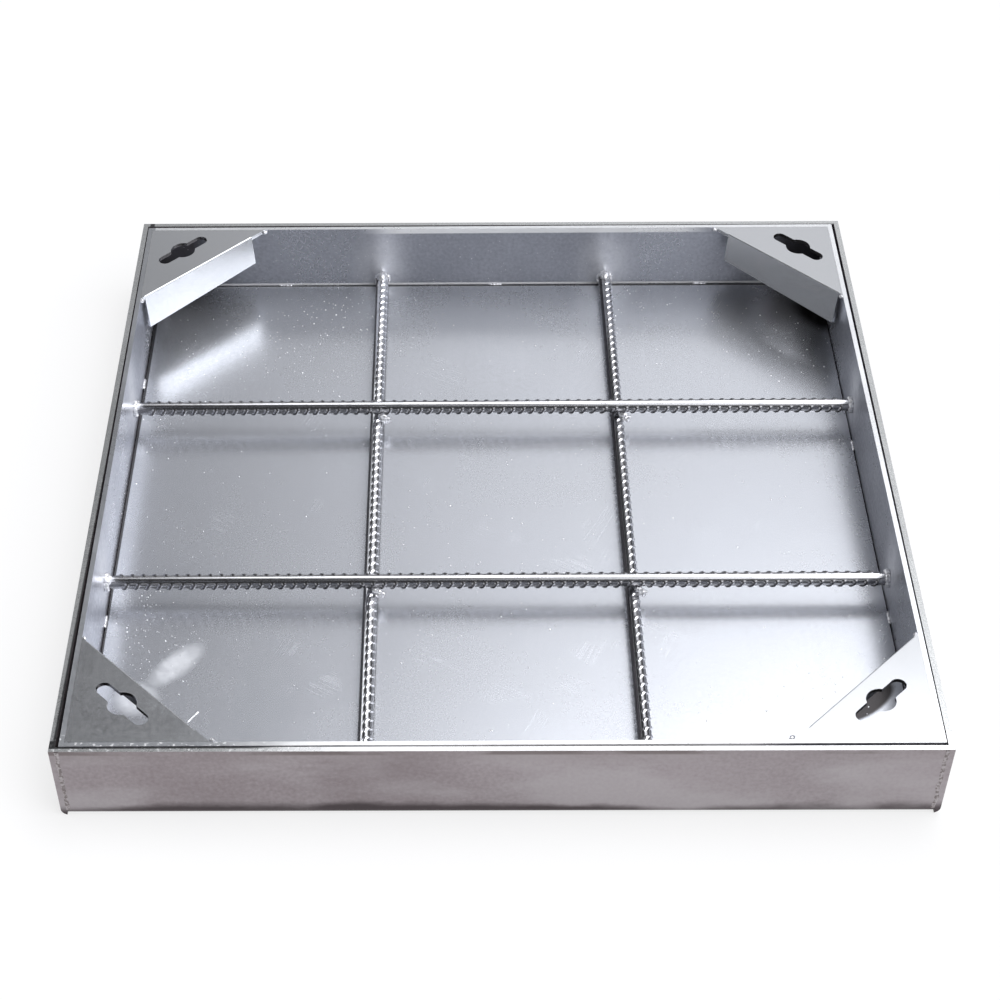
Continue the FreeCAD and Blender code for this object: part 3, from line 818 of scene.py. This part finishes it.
def make_piece(name, points, faces, slot, replaced=(), turn=TRAY_TURN, highlight_shares=None):
    mesh = bpy.data.meshes.new(name)
    mesh.from_pydata([turn @ Vector(point) * MM for point in points], [], faces)
    if highlight_shares:
        mesh.attributes.new(HIGHLIGHT_ATTRIBUTE, "FLOAT", "POINT").data.foreach_set("value", highlight_shares)
    mesh.materials.append(FINISH[slot])
    mesh.shade_smooth()
    mesh.set_sharp_from_angle(angle=SHARP_ANGLE)
    piece = bpy.data.objects.new(name, mesh)
    bpy.context.collection.objects.link(piece)
    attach(piece, "root")
    if replaced:
        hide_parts(*replaced)
    print(name, len(mesh.polygons), "faces")
    return piece


def tube_faces(sides, rings):
    """Faces of a closed tube whose points come ring by ring."""
    faces = []
    for ring in range(rings - 1):
        for side in range(sides):
            a, b = ring * sides + side, ring * sides + (side + 1) % sides
            faces.append((a, b, b + sides, a + sides))
    faces.append(tuple(reversed(range(sides))))
    faces.append(tuple(range((rings - 1) * sides, rings * sides)))
    return faces


print("piece helpers ready")

# %% [markdown]
# The ribbed bars hold the fill in the tray. Each has a round core, two smooth spines on opposite
# sides and two rows of leaning crescent ribs between them, which vanish before they reach the
# spines. The ribs of the two rows lean opposite ways. They could be separate bodies joined to the
# core, but all of it is one height above the bar's axis for each angle and place, so the bar is
# one tube whose rings are pushed out to that height. The rings are sheared to lean as the ribs do,
# so every rib lies along the rings and stays crisp. Rings sit only where the height changes.

# %% Ribbed bar shape
CORE_RADIUS = 5.05
SPINE_TOP = 5.5
SPINES_DEG = (90.0, 270.0)
ROWS_DEG = (0.0, 180.0)
QUARTER_TURN_DEG = 90.0
SPINE_EDGE_DEG = 18.6
RIB_HEIGHT = 1.2
RIB_REACH_DEG = 54.0
RIB_FULLNESS = 0.6
RIB_LEAN_DEG = 30.0
RIB_PITCH = 8.3
RIB_SIZES = (0.9, 1.0)
# place across a rib in millimetres, and the share of its height there
RIB_PROFILE = ((-1.8, 0.0), (-1.1, 0.6), (-0.5, 0.96), (0.5, 0.96), (1.1, 0.6), (1.8, 0.0))
BAR_LENGTH = 580.0
BAR_FREE_END = 6.0
# angles of the points on both sides of a spine, closest where the height changes
FROM_SPINE_DEG = (0, 9, 16.5, SPINE_EDGE_DEG, 21.5, 27, 33, 39, 46, 53, 61, 70, 80)


def ring_angles():
    """Angles in degrees round the bar, from the middle of one row of ribs."""
    angles = set(ROWS_DEG)
    for spine in SPINES_DEG:
        for step in FROM_SPINE_DEG:
            angles.update((spine - step, spine + step))
    return sorted(angles)


def rib_share(from_row):
    """Height of a rib at an angle from the middle of its row, from 1 there to 0 at its tips."""
    if from_row >= RIB_REACH_DEG:
        return 0.0
    return math.cos(math.radians(from_row * QUARTER_TURN_DEG / RIB_REACH_DEG)) ** RIB_FULLNESS


def lean_shift(angle):
    """How far along the bar the ring is sheared at an angle."""
    return math.tan(math.radians(RIB_LEAN_DEG)) * CORE_RADIUS * math.sin(math.radians(angle))


def bar_stations(rng):
    """Places along the bar, with the height shares of the two rows and the share of the lean."""
    half = BAR_LENGTH / 2
    ends = ((half, 0.0), (half - BAR_FREE_END / 2, 0.5), (half - BAR_FREE_END, 1.0))
    count = int((BAR_LENGTH - 2 * BAR_FREE_END) / RIB_PITCH)
    stations = [(-x, 0.0, 0.0, sheared) for x, sheared in ends]
    for number in range(count):
        middle = (number - (count - 1) / 2) * RIB_PITCH
        for row, shift in ((0, -RIB_PITCH / 4), (1, RIB_PITCH / 4)):
            size = rng.uniform(*RIB_SIZES)
            for step, share in RIB_PROFILE:
                heights = (share * size, 0.0) if row == 0 else (0.0, share * size)
                stations.append((middle + shift + step, *heights, 1.0))
    stations += [(x, 0.0, 0.0, sheared) for x, sheared in reversed(ends)]
    return stations


def bar_mesh(roll_deg, shines, seed):
    """Points, faces and painted highlight shares of a bar along X, rolled about its own axis."""
    on_spine, on_rib, in_hollow = shines
    angles = ring_angles()
    stations = bar_stations(random.Random(seed))
    points, highlight_shares = [], []
    for x, first, second, sheared in stations:
        for angle in angles:
            off_spine = min(abs(angle - spine) for spine in SPINES_DEG)
            row_share = first if math.cos(math.radians(angle)) > 0 else second
            rib = RIB_HEIGHT * rib_share(QUARTER_TURN_DEG - off_spine) * row_share
            radius = CORE_RADIUS + rib
            # the share of painted highlight at this point
            highlight_share = in_hollow + (on_rib - in_hollow) * rib / RIB_HEIGHT
            if off_spine <= SPINE_EDGE_DEG:
                radius = SPINE_TOP
                highlight_share = on_spine
            turn = math.radians(angle + roll_deg)
            points.append((x + lean_shift(angle) * sheared, radius * math.cos(turn), radius * math.sin(turn)))
            highlight_shares.append(highlight_share)
    return points, tube_faces(len(angles), len(stations)), highlight_shares


print("points in one ring of a bar:", len(ring_angles()))

# %% [markdown]
# The four bars are cut from the same stock but were rolled to different places before they were
# welded: the cross bars get a painted highlight on a spine near the top, and the long bars on their
# ribs. One bar copied four times would look too much alike, so the table gives each its roll, its
# share of painted highlight and a seed for the small differences between its ribs. The cross bars
# run along X, above the others.

# %% Place the four bars
# way it runs, place across, roll in degrees, painted highlight on the spines, the ribs and the hollows, seed
BARS = {
    "front": ("X", CROSS_BAR_Y[0], 23.0, (1.0, 0.0, 0.5), 11),
    "back": ("X", CROSS_BAR_Y[1], 23.0, (1.0, 0.0, 0.5), 12),
    "left": ("Y", LONG_BAR_X[0], 30.0, (0.0, 1.0, 1.0), 21),
    "right": ("Y", LONG_BAR_X[1], 40.0, (0.0, 1.0, 0.6), 22),
}


def make_bars():
    for name, (way, across, roll_deg, shines, seed) in BARS.items():
        points, faces, highlight_shares = bar_mesh(roll_deg, shines, seed)
        if way == "X":
            placed = [(x, y + across, z + HIGH_BAR_Z) for x, y, z in points]
        else:
            placed = [(z + across, x, y + LOW_BAR_Z) for x, y, z in points]
        make_piece("bar_" + name, placed, faces, "bar_steel", ["ribbed_bar_" + name], highlight_shares=highlight_shares)


make_bars()

# %% [markdown]
# A bead of weld is a row of puddles that ran together. It could be a tube with noise on it, but
# puddles overlap, and that is what makes a bead look welded. So it is built from blobs: closed
# lumps with a soft uneven skin and fine ripples across the way the torch went. A crater, where the
# torch was lifted, is a dent in the blob on one side.

# %% Blob shape
BLOB_RINGS = 14
BLOB_SIDES = 20
# shares of its size by which the skin swells and is pitted, and how fast both change over it
SWELL, SWELL_RATE = 0.16, 1.6
PITS, PIT_RATE = 0.05, 5.0
NOISE_SKEW = 1.7
# radians for each millimetre along the run
RIPPLE_RATE = 4.2
# cosine of the angle at which a crater starts, from there to its middle, and the curve of its wall
CRATER_COSINE, CRATER_WIDTH, CRATER_STEEPNESS = 0.78, 0.22, 0.7


class Lumps:
    """Collects the points and faces of many small closed shapes."""

    def __init__(self):
        self.points = []
        self.faces = []

    def blob(self, centre, radii, along=(1, 0, 0), up=(0, 0, 1), seed=0.0, ripple=0.05, dent=None):
        """A lump with radii along its run, across it and up. A dent is a direction and a depth."""
        run = Vector(along).normalized()
        top = Vector(up).normalized()
        across = top.cross(run).normalized()
        shift = Vector((seed, seed * NOISE_SKEW, -seed))

        def skin(polar, turn):
            ring = math.sin(polar)
            local = Vector((math.cos(polar), ring * math.cos(turn), ring * math.sin(turn)))
            size = 1.0 + SWELL * noise.noise(local * SWELL_RATE + shift)
            size += PITS * noise.noise(local * PIT_RATE + shift)
            size += ripple * math.cos(local.x * radii[0] * RIPPLE_RATE + seed)
            if dent:
                facing = local.dot(Vector(dent[0]).normalized())
                inside = max(0.0, (facing - CRATER_COSINE) / CRATER_WIDTH)
                size -= dent[1] * inside ** CRATER_STEEPNESS
            reach = local * size
            level = Vector(centre) + run * reach.x * radii[0] + across * reach.y * radii[1]
            return level + top * reach.z * radii[2]

        first = len(self.points)
        self.points.append(skin(0.0, 0.0))
        for ring in range(1, BLOB_RINGS):
            for side in range(BLOB_SIDES):
                self.points.append(skin(math.pi * ring / BLOB_RINGS, 2 * math.pi * side / BLOB_SIDES))
        last = len(self.points)
        self.points.append(skin(math.pi, 0.0))
        for side in range(BLOB_SIDES):
            after = (side + 1) % BLOB_SIDES
            self.faces.append((first, first + 1 + side, first + 1 + after))
            self.faces.append((last, last - BLOB_SIDES + after, last - BLOB_SIDES + side))
            for ring in range(BLOB_RINGS - 2):
                a, b = first + 1 + ring * BLOB_SIDES + side, first + 1 + ring * BLOB_SIDES + after
                self.faces.append((a, a + BLOB_SIDES, b + BLOB_SIDES, b))


print("a blob has", (BLOB_RINGS - 2) * BLOB_SIDES + 2 * BLOB_SIDES, "faces")

# %% [markdown]
# Where a bar meets a wall, the weld goes over the upper part of the bar. A smooth ring would look
# moulded, so it is a ring of puddles, each a little off its place. On top lies one bigger puddle:
# a long one at the ends of the long bars, one with a crater at the left ends of the cross bars,
# and a small round one at their right ends.

# %% Bar end welds
BAR_END_SEED = 5
COLLAR_RADIUS = 5.7
COLLAR_ANGLES_DEG = (-28, 2, 30, 62, 93, 122, 150, 181, 207)
COLLAR_WANDER_DEG = 6
COLLAR_FROM_WALL = (1.2, 2.0)
COLLAR_RADII = ((2.0, 2.5), (1.8, 2.3), (1.3, 1.7))
# range of the number that makes the skin of each blob different
SKINS = (0, 50)
# step in from the wall, shift from there, radii, and what else is special about the top puddle
LONG_BAR_TOP = (5.0, (-0.5, 0.0, 5.0), (6.4, 4.2, 3.8), {"ripple": 0.03})
LEFT_TOP = (3.0, (0.0, -0.6, 2.6), (3.6, 4.2, 3.6), {"dent": ((0.1, -0.55, 0.83), 0.75)})
RIGHT_TOP = (2.4, (0.0, -1.5, 2.4), (2.8, 3.0, 2.8), {"along": (1, 0, 0)})


def make_bar_end_welds():
    rng = random.Random(BAR_END_SEED)
    lumps = Lumps()
    for x, y, z in BAR_ENDS:
        if abs(y) == INSIDE:
            inward, top = Vector((0, -math.copysign(1, y), 0)), LONG_BAR_TOP
        else:
            inward, top = Vector((-math.copysign(1, x), 0, 0)), LEFT_TOP if x < 0 else RIGHT_TOP
        side = Vector((0, 0, 1)).cross(inward)
        for angle in COLLAR_ANGLES_DEG:
            turn = math.radians(angle + rng.uniform(-COLLAR_WANDER_DEG, COLLAR_WANDER_DEG))
            out = side * math.cos(turn) + Vector((0, 0, math.sin(turn)))
            centre = Vector((x, y, z)) + out * COLLAR_RADIUS + inward * rng.uniform(*COLLAR_FROM_WALL)
            radii = [rng.uniform(*limits) for limits in COLLAR_RADII]
            lumps.blob(centre, radii, along=inward.cross(out), up=out, seed=rng.uniform(*SKINS))
        step, shift, radii, special = top
        centre = Vector((x, y, z)) + inward * step + Vector(shift)
        lumps.blob(centre, radii, seed=rng.uniform(*SKINS), **{"along": inward, **special})
    make_piece("bar_end_beads", lumps.points, lumps.faces, "weld_metal", ["bar_end_welds"])


make_bar_end_welds()

# %% [markdown]
# At each crossing one fat tack sits in the corner to the right of the long bar and in front of the
# cross bar. One blob would look like a ball, so it is a heap of four puddles, the smallest of
# them a drop that ran aside.

# %% Crossing welds
# shift from the crossing at the long bar's axis, and radii
CROSSING_PUDDLES = (
    ((7.0, -7.2, 5.2), (3.2, 3.0, 3.0)),
    ((4.8, -6.6, 8.2), (3.6, 2.2, 1.9)),
    ((8.2, -5.4, 3.2), (2.5, 3.0, 2.6)),
    ((9.4, -8.2, 7.0), (1.6, 1.5, 1.4)),
)
CROSSING_SEED = 6
CROSSING_RUN = (1, -0.4, 0.1)
CROSSING_RIPPLE = 0.12


def make_crossing_welds():
    rng = random.Random(CROSSING_SEED)
    lumps = Lumps()
    for x in LONG_BAR_X:
        for y in CROSS_BAR_Y:
            for shift, radii in CROSSING_PUDDLES:
                centre = Vector((x, y, LOW_BAR_Z)) + Vector(shift)
                lumps.blob(centre, radii, along=CROSSING_RUN, seed=rng.uniform(*SKINS),
                           ripple=CROSSING_RIPPLE)
    make_piece("bar_crossing_beads", lumps.points, lumps.faces, "weld_metal", ["bar_crossing_welds"])


make_crossing_welds()

# %% [markdown]
# Short tacks hold the floor to the walls. Each is a low bead of a few overlapping puddles in the
# corner between the two plates, so a helper lays a row of blobs from one point to another. Those
# at the left and right walls are a little fatter than those at the back and front.

# %% Floor tacks
FLOOR_TOP = 7.0
LEFT_TACKS_Y = (155.0, -122.0)
RIGHT_TACKS_Y = (72.0, -122.0)
CROSS_TACKS_X = (-180.0, 5.0, 185.0)
TACK_SEED = 7
TACK_FROM_WALL = 0.7
TACK_ABOVE_FLOOR = 0.3
HALF_TACK = 4.0
TACK_PUDDLES = 4
SIDE_TACK_RADII = (2.2, 1.3, 0.9)
CROSS_TACK_RADII = (2.0, 0.9, 0.7)
PUDDLE_SIZES = (0.88, 1.08)


def run_of_blobs(lumps, start, end, up, count, radii, rng):
    """A bead from start to end, made of a number of puddles."""
    start, end = Vector(start), Vector(end)
    for number in range(count):
        centre = start.lerp(end, number / max(1, count - 1))
        sizes = [radius * rng.uniform(*PUDDLE_SIZES) for radius in radii]
        lumps.blob(centre, sizes, along=end - start, up=up, seed=rng.uniform(*SKINS))


def make_floor_tacks():
    rng = random.Random(TACK_SEED)
    lumps = Lumps()
    near = INSIDE - TACK_FROM_WALL
    along_x, along_y = Vector((HALF_TACK, 0, 0)), Vector((0, HALF_TACK, 0))
    spots = [(-near, y, along_y, SIDE_TACK_RADII) for y in LEFT_TACKS_Y]
    spots += [(near, y, along_y, SIDE_TACK_RADII) for y in RIGHT_TACKS_Y]
    spots += [(x, side, along_x, CROSS_TACK_RADII) for x in CROSS_TACKS_X for side in (-near, near)]
    for x, y, step, radii in spots:
        inward = Vector((-x, 0, 0)) if step is along_y else Vector((0, -y, 0))
        up = inward.normalized() + Vector((0, 0, 1))
        middle = Vector((x, y, FLOOR_TOP + TACK_ABOVE_FLOOR))
        run_of_blobs(lumps, middle - step, middle + step, up, TACK_PUDDLES, radii, rng)
    make_piece("floor_tack_beads", lumps.points, lumps.faces, "weld_metal", ["floor_tack_welds"])


make_floor_tacks()

# %% [markdown]
# The tray's corners have an upright bead inside, and the corner plates have two stitches below and
# a small bright spot of weld at each tip, where the folded edge meets a wall. They could be placed
# one by one, but the four corners are mirror images, so one loop over the signs of X and Y makes
# them all.

# %% Corner welds
CORNER_SEED = 8
PLATE_UNDERSIDE = 63.0
GUSSET_LEG = 97.0
CORNER_BEAD_IN = 1.0
UPRIGHT_LOW, UPRIGHT_HIGH = 13.5, 60.0
UPRIGHT_PUDDLES, UPRIGHT_RADII = 17, (2.6, 2.1, 1.9)
STITCH_LENGTH, STITCH_BELOW = 22.0, 0.9
STITCH_PUDDLES, STITCH_RADII = 8, (2.4, 2.0, 1.4)
TIP_LEVEL = 64.2
TIP_PAST, TIP_FROM_WALL = 0.4, 1.1
TIP_SIZES = (1.1, 1.7)
TIP_LENGTHENED = 1.5
# size, and distances past the plate and from the wall, of the spots at the front wall
FRONT_TIP = (1.55, 1.2, 2.8)


def by_wall(along_x, signs, along, across, z):
    """A place in one of the four corners, given along one of its walls and across to that wall."""
    x, y = (along, across) if along_x else (across, along)
    return Vector((signs[0] * x, signs[1] * y, z))


def make_corner_welds():
    rng = random.Random(CORNER_SEED)
    upright = Lumps()
    stitches = Lumps()
    corner = INSIDE - CORNER_BEAD_IN
    near = INSIDE - GUSSET_LEG / 2
    level = PLATE_UNDERSIDE - STITCH_BELOW
    for signs in ((-1, -1), (-1, 1), (1, -1), (1, 1)):
        foot, head = [by_wall(True, signs, corner, corner, z) for z in (UPRIGHT_LOW, UPRIGHT_HIGH)]
        inward = by_wall(True, signs, -1, -1, 0)
        run_of_blobs(upright, foot, head, inward, UPRIGHT_PUDDLES, UPRIGHT_RADII, rng)
        for along_x in (True, False):
            start = by_wall(along_x, signs, near, corner, level)
            end = by_wall(along_x, signs, near + STITCH_LENGTH, corner, level)
            away = by_wall(along_x, signs, 0, -1, -1)
            run_of_blobs(stitches, start, end, away, STITCH_PUDDLES, STITCH_RADII, rng)
            size, past, from_wall = rng.uniform(*TIP_SIZES), TIP_PAST, TIP_FROM_WALL
            if along_x and signs[1] < 0:
                size, past, from_wall = FRONT_TIP
            spot = by_wall(along_x, signs, INSIDE - GUSSET_LEG - past, INSIDE - from_wall, TIP_LEVEL)
            fold = (signs[0], -signs[1], 0)
            stitches.blob(spot, (size * TIP_LENGTHENED, size, size), along=fold, seed=rng.uniform(*SKINS))
    for name, lumps, node in (("tray_corner_beads", upright, "tray_corner_welds"),
                              ("lifting_corner_beads", stitches, "lifting_corner_welds")):
        make_piece(name, lumps.points, lumps.faces, "weld_metal", [node])


make_corner_welds()

# %% [markdown]
# The frame's four butt joints each have a thin flat bead that wanders a little to both sides. Blobs
# would be more than so thin a line needs. It is a slim upright tube instead, with its back sunk
# into the face of the frame and its front raised in ripples.

# %% Frame seam beads
HALF_FRAME = 300.0
SEAM_X = 294.8
SEAM_FOOT = 5.6
SEAM_HEAD = 65.3
SEAM_STEPS = 110
SEAM_SIDES = 14
SEAM_PROUD, SEAM_SUNK = 0.42, -0.5
SEAM_WANDER, WANDER_RATE = 1.1, 0.09
SEAM_HALF_WIDTH, WIDTH_CHANGE, WIDTH_RATE = 1.4, 0.5, 0.16
RIPPLE_MEAN, RIPPLE_SHARE, SEAM_RIPPLE_RATE = 0.85, 0.15, 3.4
RIPPLE_SHIFT, SHIFT_RATE = 0.8, 0.3
# places in the noise, so that the four beads and their three wobbles all differ
CORNER_APART, WIDTH_APART, RIPPLE_APART = 7.0, 4.0, 3.0


def make_frame_seams():
    points, faces = [], []
    for corner, (sx, sy) in enumerate(((-1, -1), (1, -1), (-1, 1), (1, 1))):
        base = len(points)
        for step in range(SEAM_STEPS + 1):
            z = SEAM_FOOT + (SEAM_HEAD - SEAM_FOOT) * step / SEAM_STEPS
            place = corner * CORNER_APART
            middle = SEAM_X + SEAM_WANDER * noise.noise(Vector((place, 0.0, z * WANDER_RATE)))
            change = noise.noise(Vector((place, WIDTH_APART, z * WIDTH_RATE)))
            width = SEAM_HALF_WIDTH + WIDTH_CHANGE * change
            late = RIPPLE_SHIFT * noise.noise(Vector((RIPPLE_APART, corner, z * SHIFT_RATE)))
            ripple = RIPPLE_MEAN + RIPPLE_SHARE * math.cos(z * SEAM_RIPPLE_RATE + late)
            for number in range(SEAM_SIDES):
                turn = 2 * math.pi * number / SEAM_SIDES
                rise = SEAM_PROUD * ripple * max(math.sin(turn), SEAM_SUNK)
                points.append((sx * (middle + width * math.cos(turn)), sy * (HALF_FRAME + rise), z))
        way = 1 if sx * sy > 0 else -1
        for step in range(SEAM_STEPS):
            for number in range(SEAM_SIDES):
                a, b = base + step * SEAM_SIDES + number, base + step * SEAM_SIDES + (number + 1) % SEAM_SIDES
                faces.append((a, a + SEAM_SIDES, b + SEAM_SIDES, b)[::-way])
        faces.append(tuple(range(base, base + SEAM_SIDES))[::-way])
        faces.append(tuple(range(len(points) - SEAM_SIDES, len(points)))[::way])
    make_piece("frame_seam_beads", points, faces, "weld_metal", ["frame_corner_welds"], turn=Matrix())


make_frame_seams()

# %% [markdown]
# Weld spatter is tiny drops that flew off while the bars and plates were welded and stuck to the
# floor and the walls, thickest near the welds. They could be flecks in the finish, but a drop
# mirrors light from all sides and throws a shadow. Each is a six-sided dome, most of them under a
# millimetre wide and the largest 1.7, so a simple shape is enough.

# %% Weld spatter
SPATTER_SEED = 9
DROP_SIDES = 6
# height and width of the drop's two rings, and the height of its top, as shares of its radius
DROP_RINGS = ((-0.1, 1.0), (0.42, 0.8))
DROP_TOP = 0.75
SMALL_DROPS, LARGE_DROPS = (0.25, 0.5), (0.5, 0.85)
SMALL_SHARE = 0.8
FLOOR_MARGIN = 3.0
# middle x, middle y, spread in mm, number of drops
SPATTER_FIELDS = (
    (0, 0, 190, 420),
    (-262, -150, 24, 110),
    (-240, -60, 30, 40),
    (-170, 215, 50, 260),
    (-110, 262, 26, 60),
    (240, 190, 38, 120),
    (150, 262, 40, 70),
    (100, 230, 26, 40),
    (-270, 100, 12, 40),
    (-270, -100, 12, 40),
    (272, 100, 12, 25),
    (230, -190, 40, 50),
    (-60, -120, 60, 60),
)
WALL_DROPS = 420
WALL_REACH = 270
WALL_DROP_LOW, WALL_DROP_RISE, WALL_DROP_CROWDING = 9, 44, 1.4
# the back wall is named twice, so it gets as many drops as both side walls
SPATTERED_WALLS = ("back", "back", "left", "right")


def add_drop(points, faces, centre, normal, radius):
    side = normal.orthogonal().normalized()
    other = normal.cross(side)
    base = len(points)
    for lift, share in DROP_RINGS:
        for number in range(DROP_SIDES):
            turn = 2 * math.pi * number / DROP_SIDES
            out = side * math.cos(turn) + other * math.sin(turn)
            points.append(centre + (out * share + normal * lift) * radius)
    points.append(centre + normal * radius * DROP_TOP)
    top = base + 2 * DROP_SIDES
    for number in range(DROP_SIDES):
        after = (number + 1) % DROP_SIDES
        low, next_low = base + number, base + after
        high, next_high = low + DROP_SIDES, next_low + DROP_SIDES
        faces.append((low, next_low, next_high, high))
        faces.append((high, next_high, top))
    faces.append(tuple(reversed(range(base, base + DROP_SIDES))))


def make_spatter():
    rng = random.Random(SPATTER_SEED)
    points, faces = [], []
    limit = INSIDE - FLOOR_MARGIN
    for x, y, width, count in SPATTER_FIELDS:
        for _ in range(count):
            px, py = rng.gauss(x, width), rng.gauss(y, width)
            sizes = SMALL_DROPS if rng.random() < SMALL_SHARE else LARGE_DROPS
            radius = rng.uniform(*sizes)
            if abs(px) < limit and abs(py) < limit:
                add_drop(points, faces, Vector((px, py, FLOOR_TOP)), Vector((0, 0, 1)), radius)
    for _ in range(WALL_DROPS):
        along = rng.uniform(-WALL_REACH, WALL_REACH)
        z = WALL_DROP_LOW + WALL_DROP_RISE * rng.random() ** WALL_DROP_CROWDING
        radius = rng.uniform(*SMALL_DROPS)
        wall = rng.choice(SPATTERED_WALLS)
        place, normal = {"back": ((along, INSIDE, z), (0, -1, 0)),
                         "left": ((-INSIDE, along, z), (1, 0, 0)),
                         "right": ((INSIDE, along, z), (-1, 0, 0))}[wall]
        add_drop(points, faces, Vector(place), Vector(normal), radius)
    make_piece("weld_spatter", points, faces, "weld_metal")


make_spatter()

# %% [markdown]
# An end of welding wire still sticks to the folded edge of the front left corner plate. It could
# be a curve with a round section, but four points are enough for it: a thin bent tube along them,
# with a drop at its tip.

# %% Wire end
WIRE_POINTS = (
    (-210.6, -272.6, 64.6),
    (-208.6, -269.6, 64.9),
    (-206.4, -266.6, 65.0),
    (-204.2, -263.6, 64.9),
)
WIRE_RADIUS = 0.5
WIRE_TIP_WIDER = 1.25
WIRE_SIDES = 8


def make_wire_end():
    points = []
    way = (Vector(WIRE_POINTS[-1]) - Vector(WIRE_POINTS[0])).normalized()
    side = way.cross(Vector((0, 0, 1))).normalized()
    other = way.cross(side)
    for place in WIRE_POINTS:
        radius = WIRE_RADIUS * (WIRE_TIP_WIDER if place == WIRE_POINTS[-1] else 1.0)
        for corner in range(WIRE_SIDES):
            turn = 2 * math.pi * corner / WIRE_SIDES
            points.append(Vector(place) + (side * math.cos(turn) + other * math.sin(turn)) * radius)
    make_piece("wire_end", points, tube_faces(WIRE_SIDES, len(WIRE_POINTS)), "weld_metal")


make_wire_end()

# %% [markdown]
# The floor is plain white paper. Plain diffuse paper would turn grey in so dark a room, and more
# light would spoil the steel. So to the camera, and in the steel's mirror image, it is mostly an
# even white, and it keeps a quarter of its real shading, so the cover still throws its shadow.

# %% Floor
FLOOR_SIZE = 40.0
PAPER_WHITE = (0.9, 0.9, 0.9, 1)
EVEN_SHARE = 0.75


def make_floor():
    mesh = bpy.data.meshes.new("studio_floor")
    half = FLOOR_SIZE / 2
    corners = [(-half, -half, 0), (half, -half, 0), (half, half, 0), (-half, half, 0)]
    mesh.from_pydata(corners, [], [(0, 1, 2, 3)])
    floor = bpy.data.objects.new("studio_floor", mesh)
    bpy.context.collection.objects.link(floor)
    material = bpy.data.materials.new("floor_paper")
    material.use_nodes = True
    tree = material.node_tree
    tree.nodes.clear()
    output = add(tree, "ShaderNodeOutputMaterial")
    paper = add(tree, "ShaderNodeBsdfDiffuse")
    paper.inputs["Color"].default_value = PAPER_WHITE
    even = add(tree, "ShaderNodeEmission")
    path = add(tree, "ShaderNodeLightPath").outputs
    seen = calc(tree, "MAXIMUM", path["Is Camera Ray"], path["Is Glossy Ray"])
    seen = calc(tree, "MAXIMUM", seen, path["Is Transmission Ray"])
    blend = add(tree, "ShaderNodeMixShader")
    tree.links.new(times(tree, seen, EVEN_SHARE), blend.inputs[0])
    tree.links.new(paper.outputs[0], blend.inputs[1])
    tree.links.new(even.outputs[0], blend.inputs[2])
    tree.links.new(blend.outputs[0], output.inputs["Surface"])
    mesh.materials.append(material)
    return floor


make_floor()
print("floor", FLOOR_SIZE, "m wide")
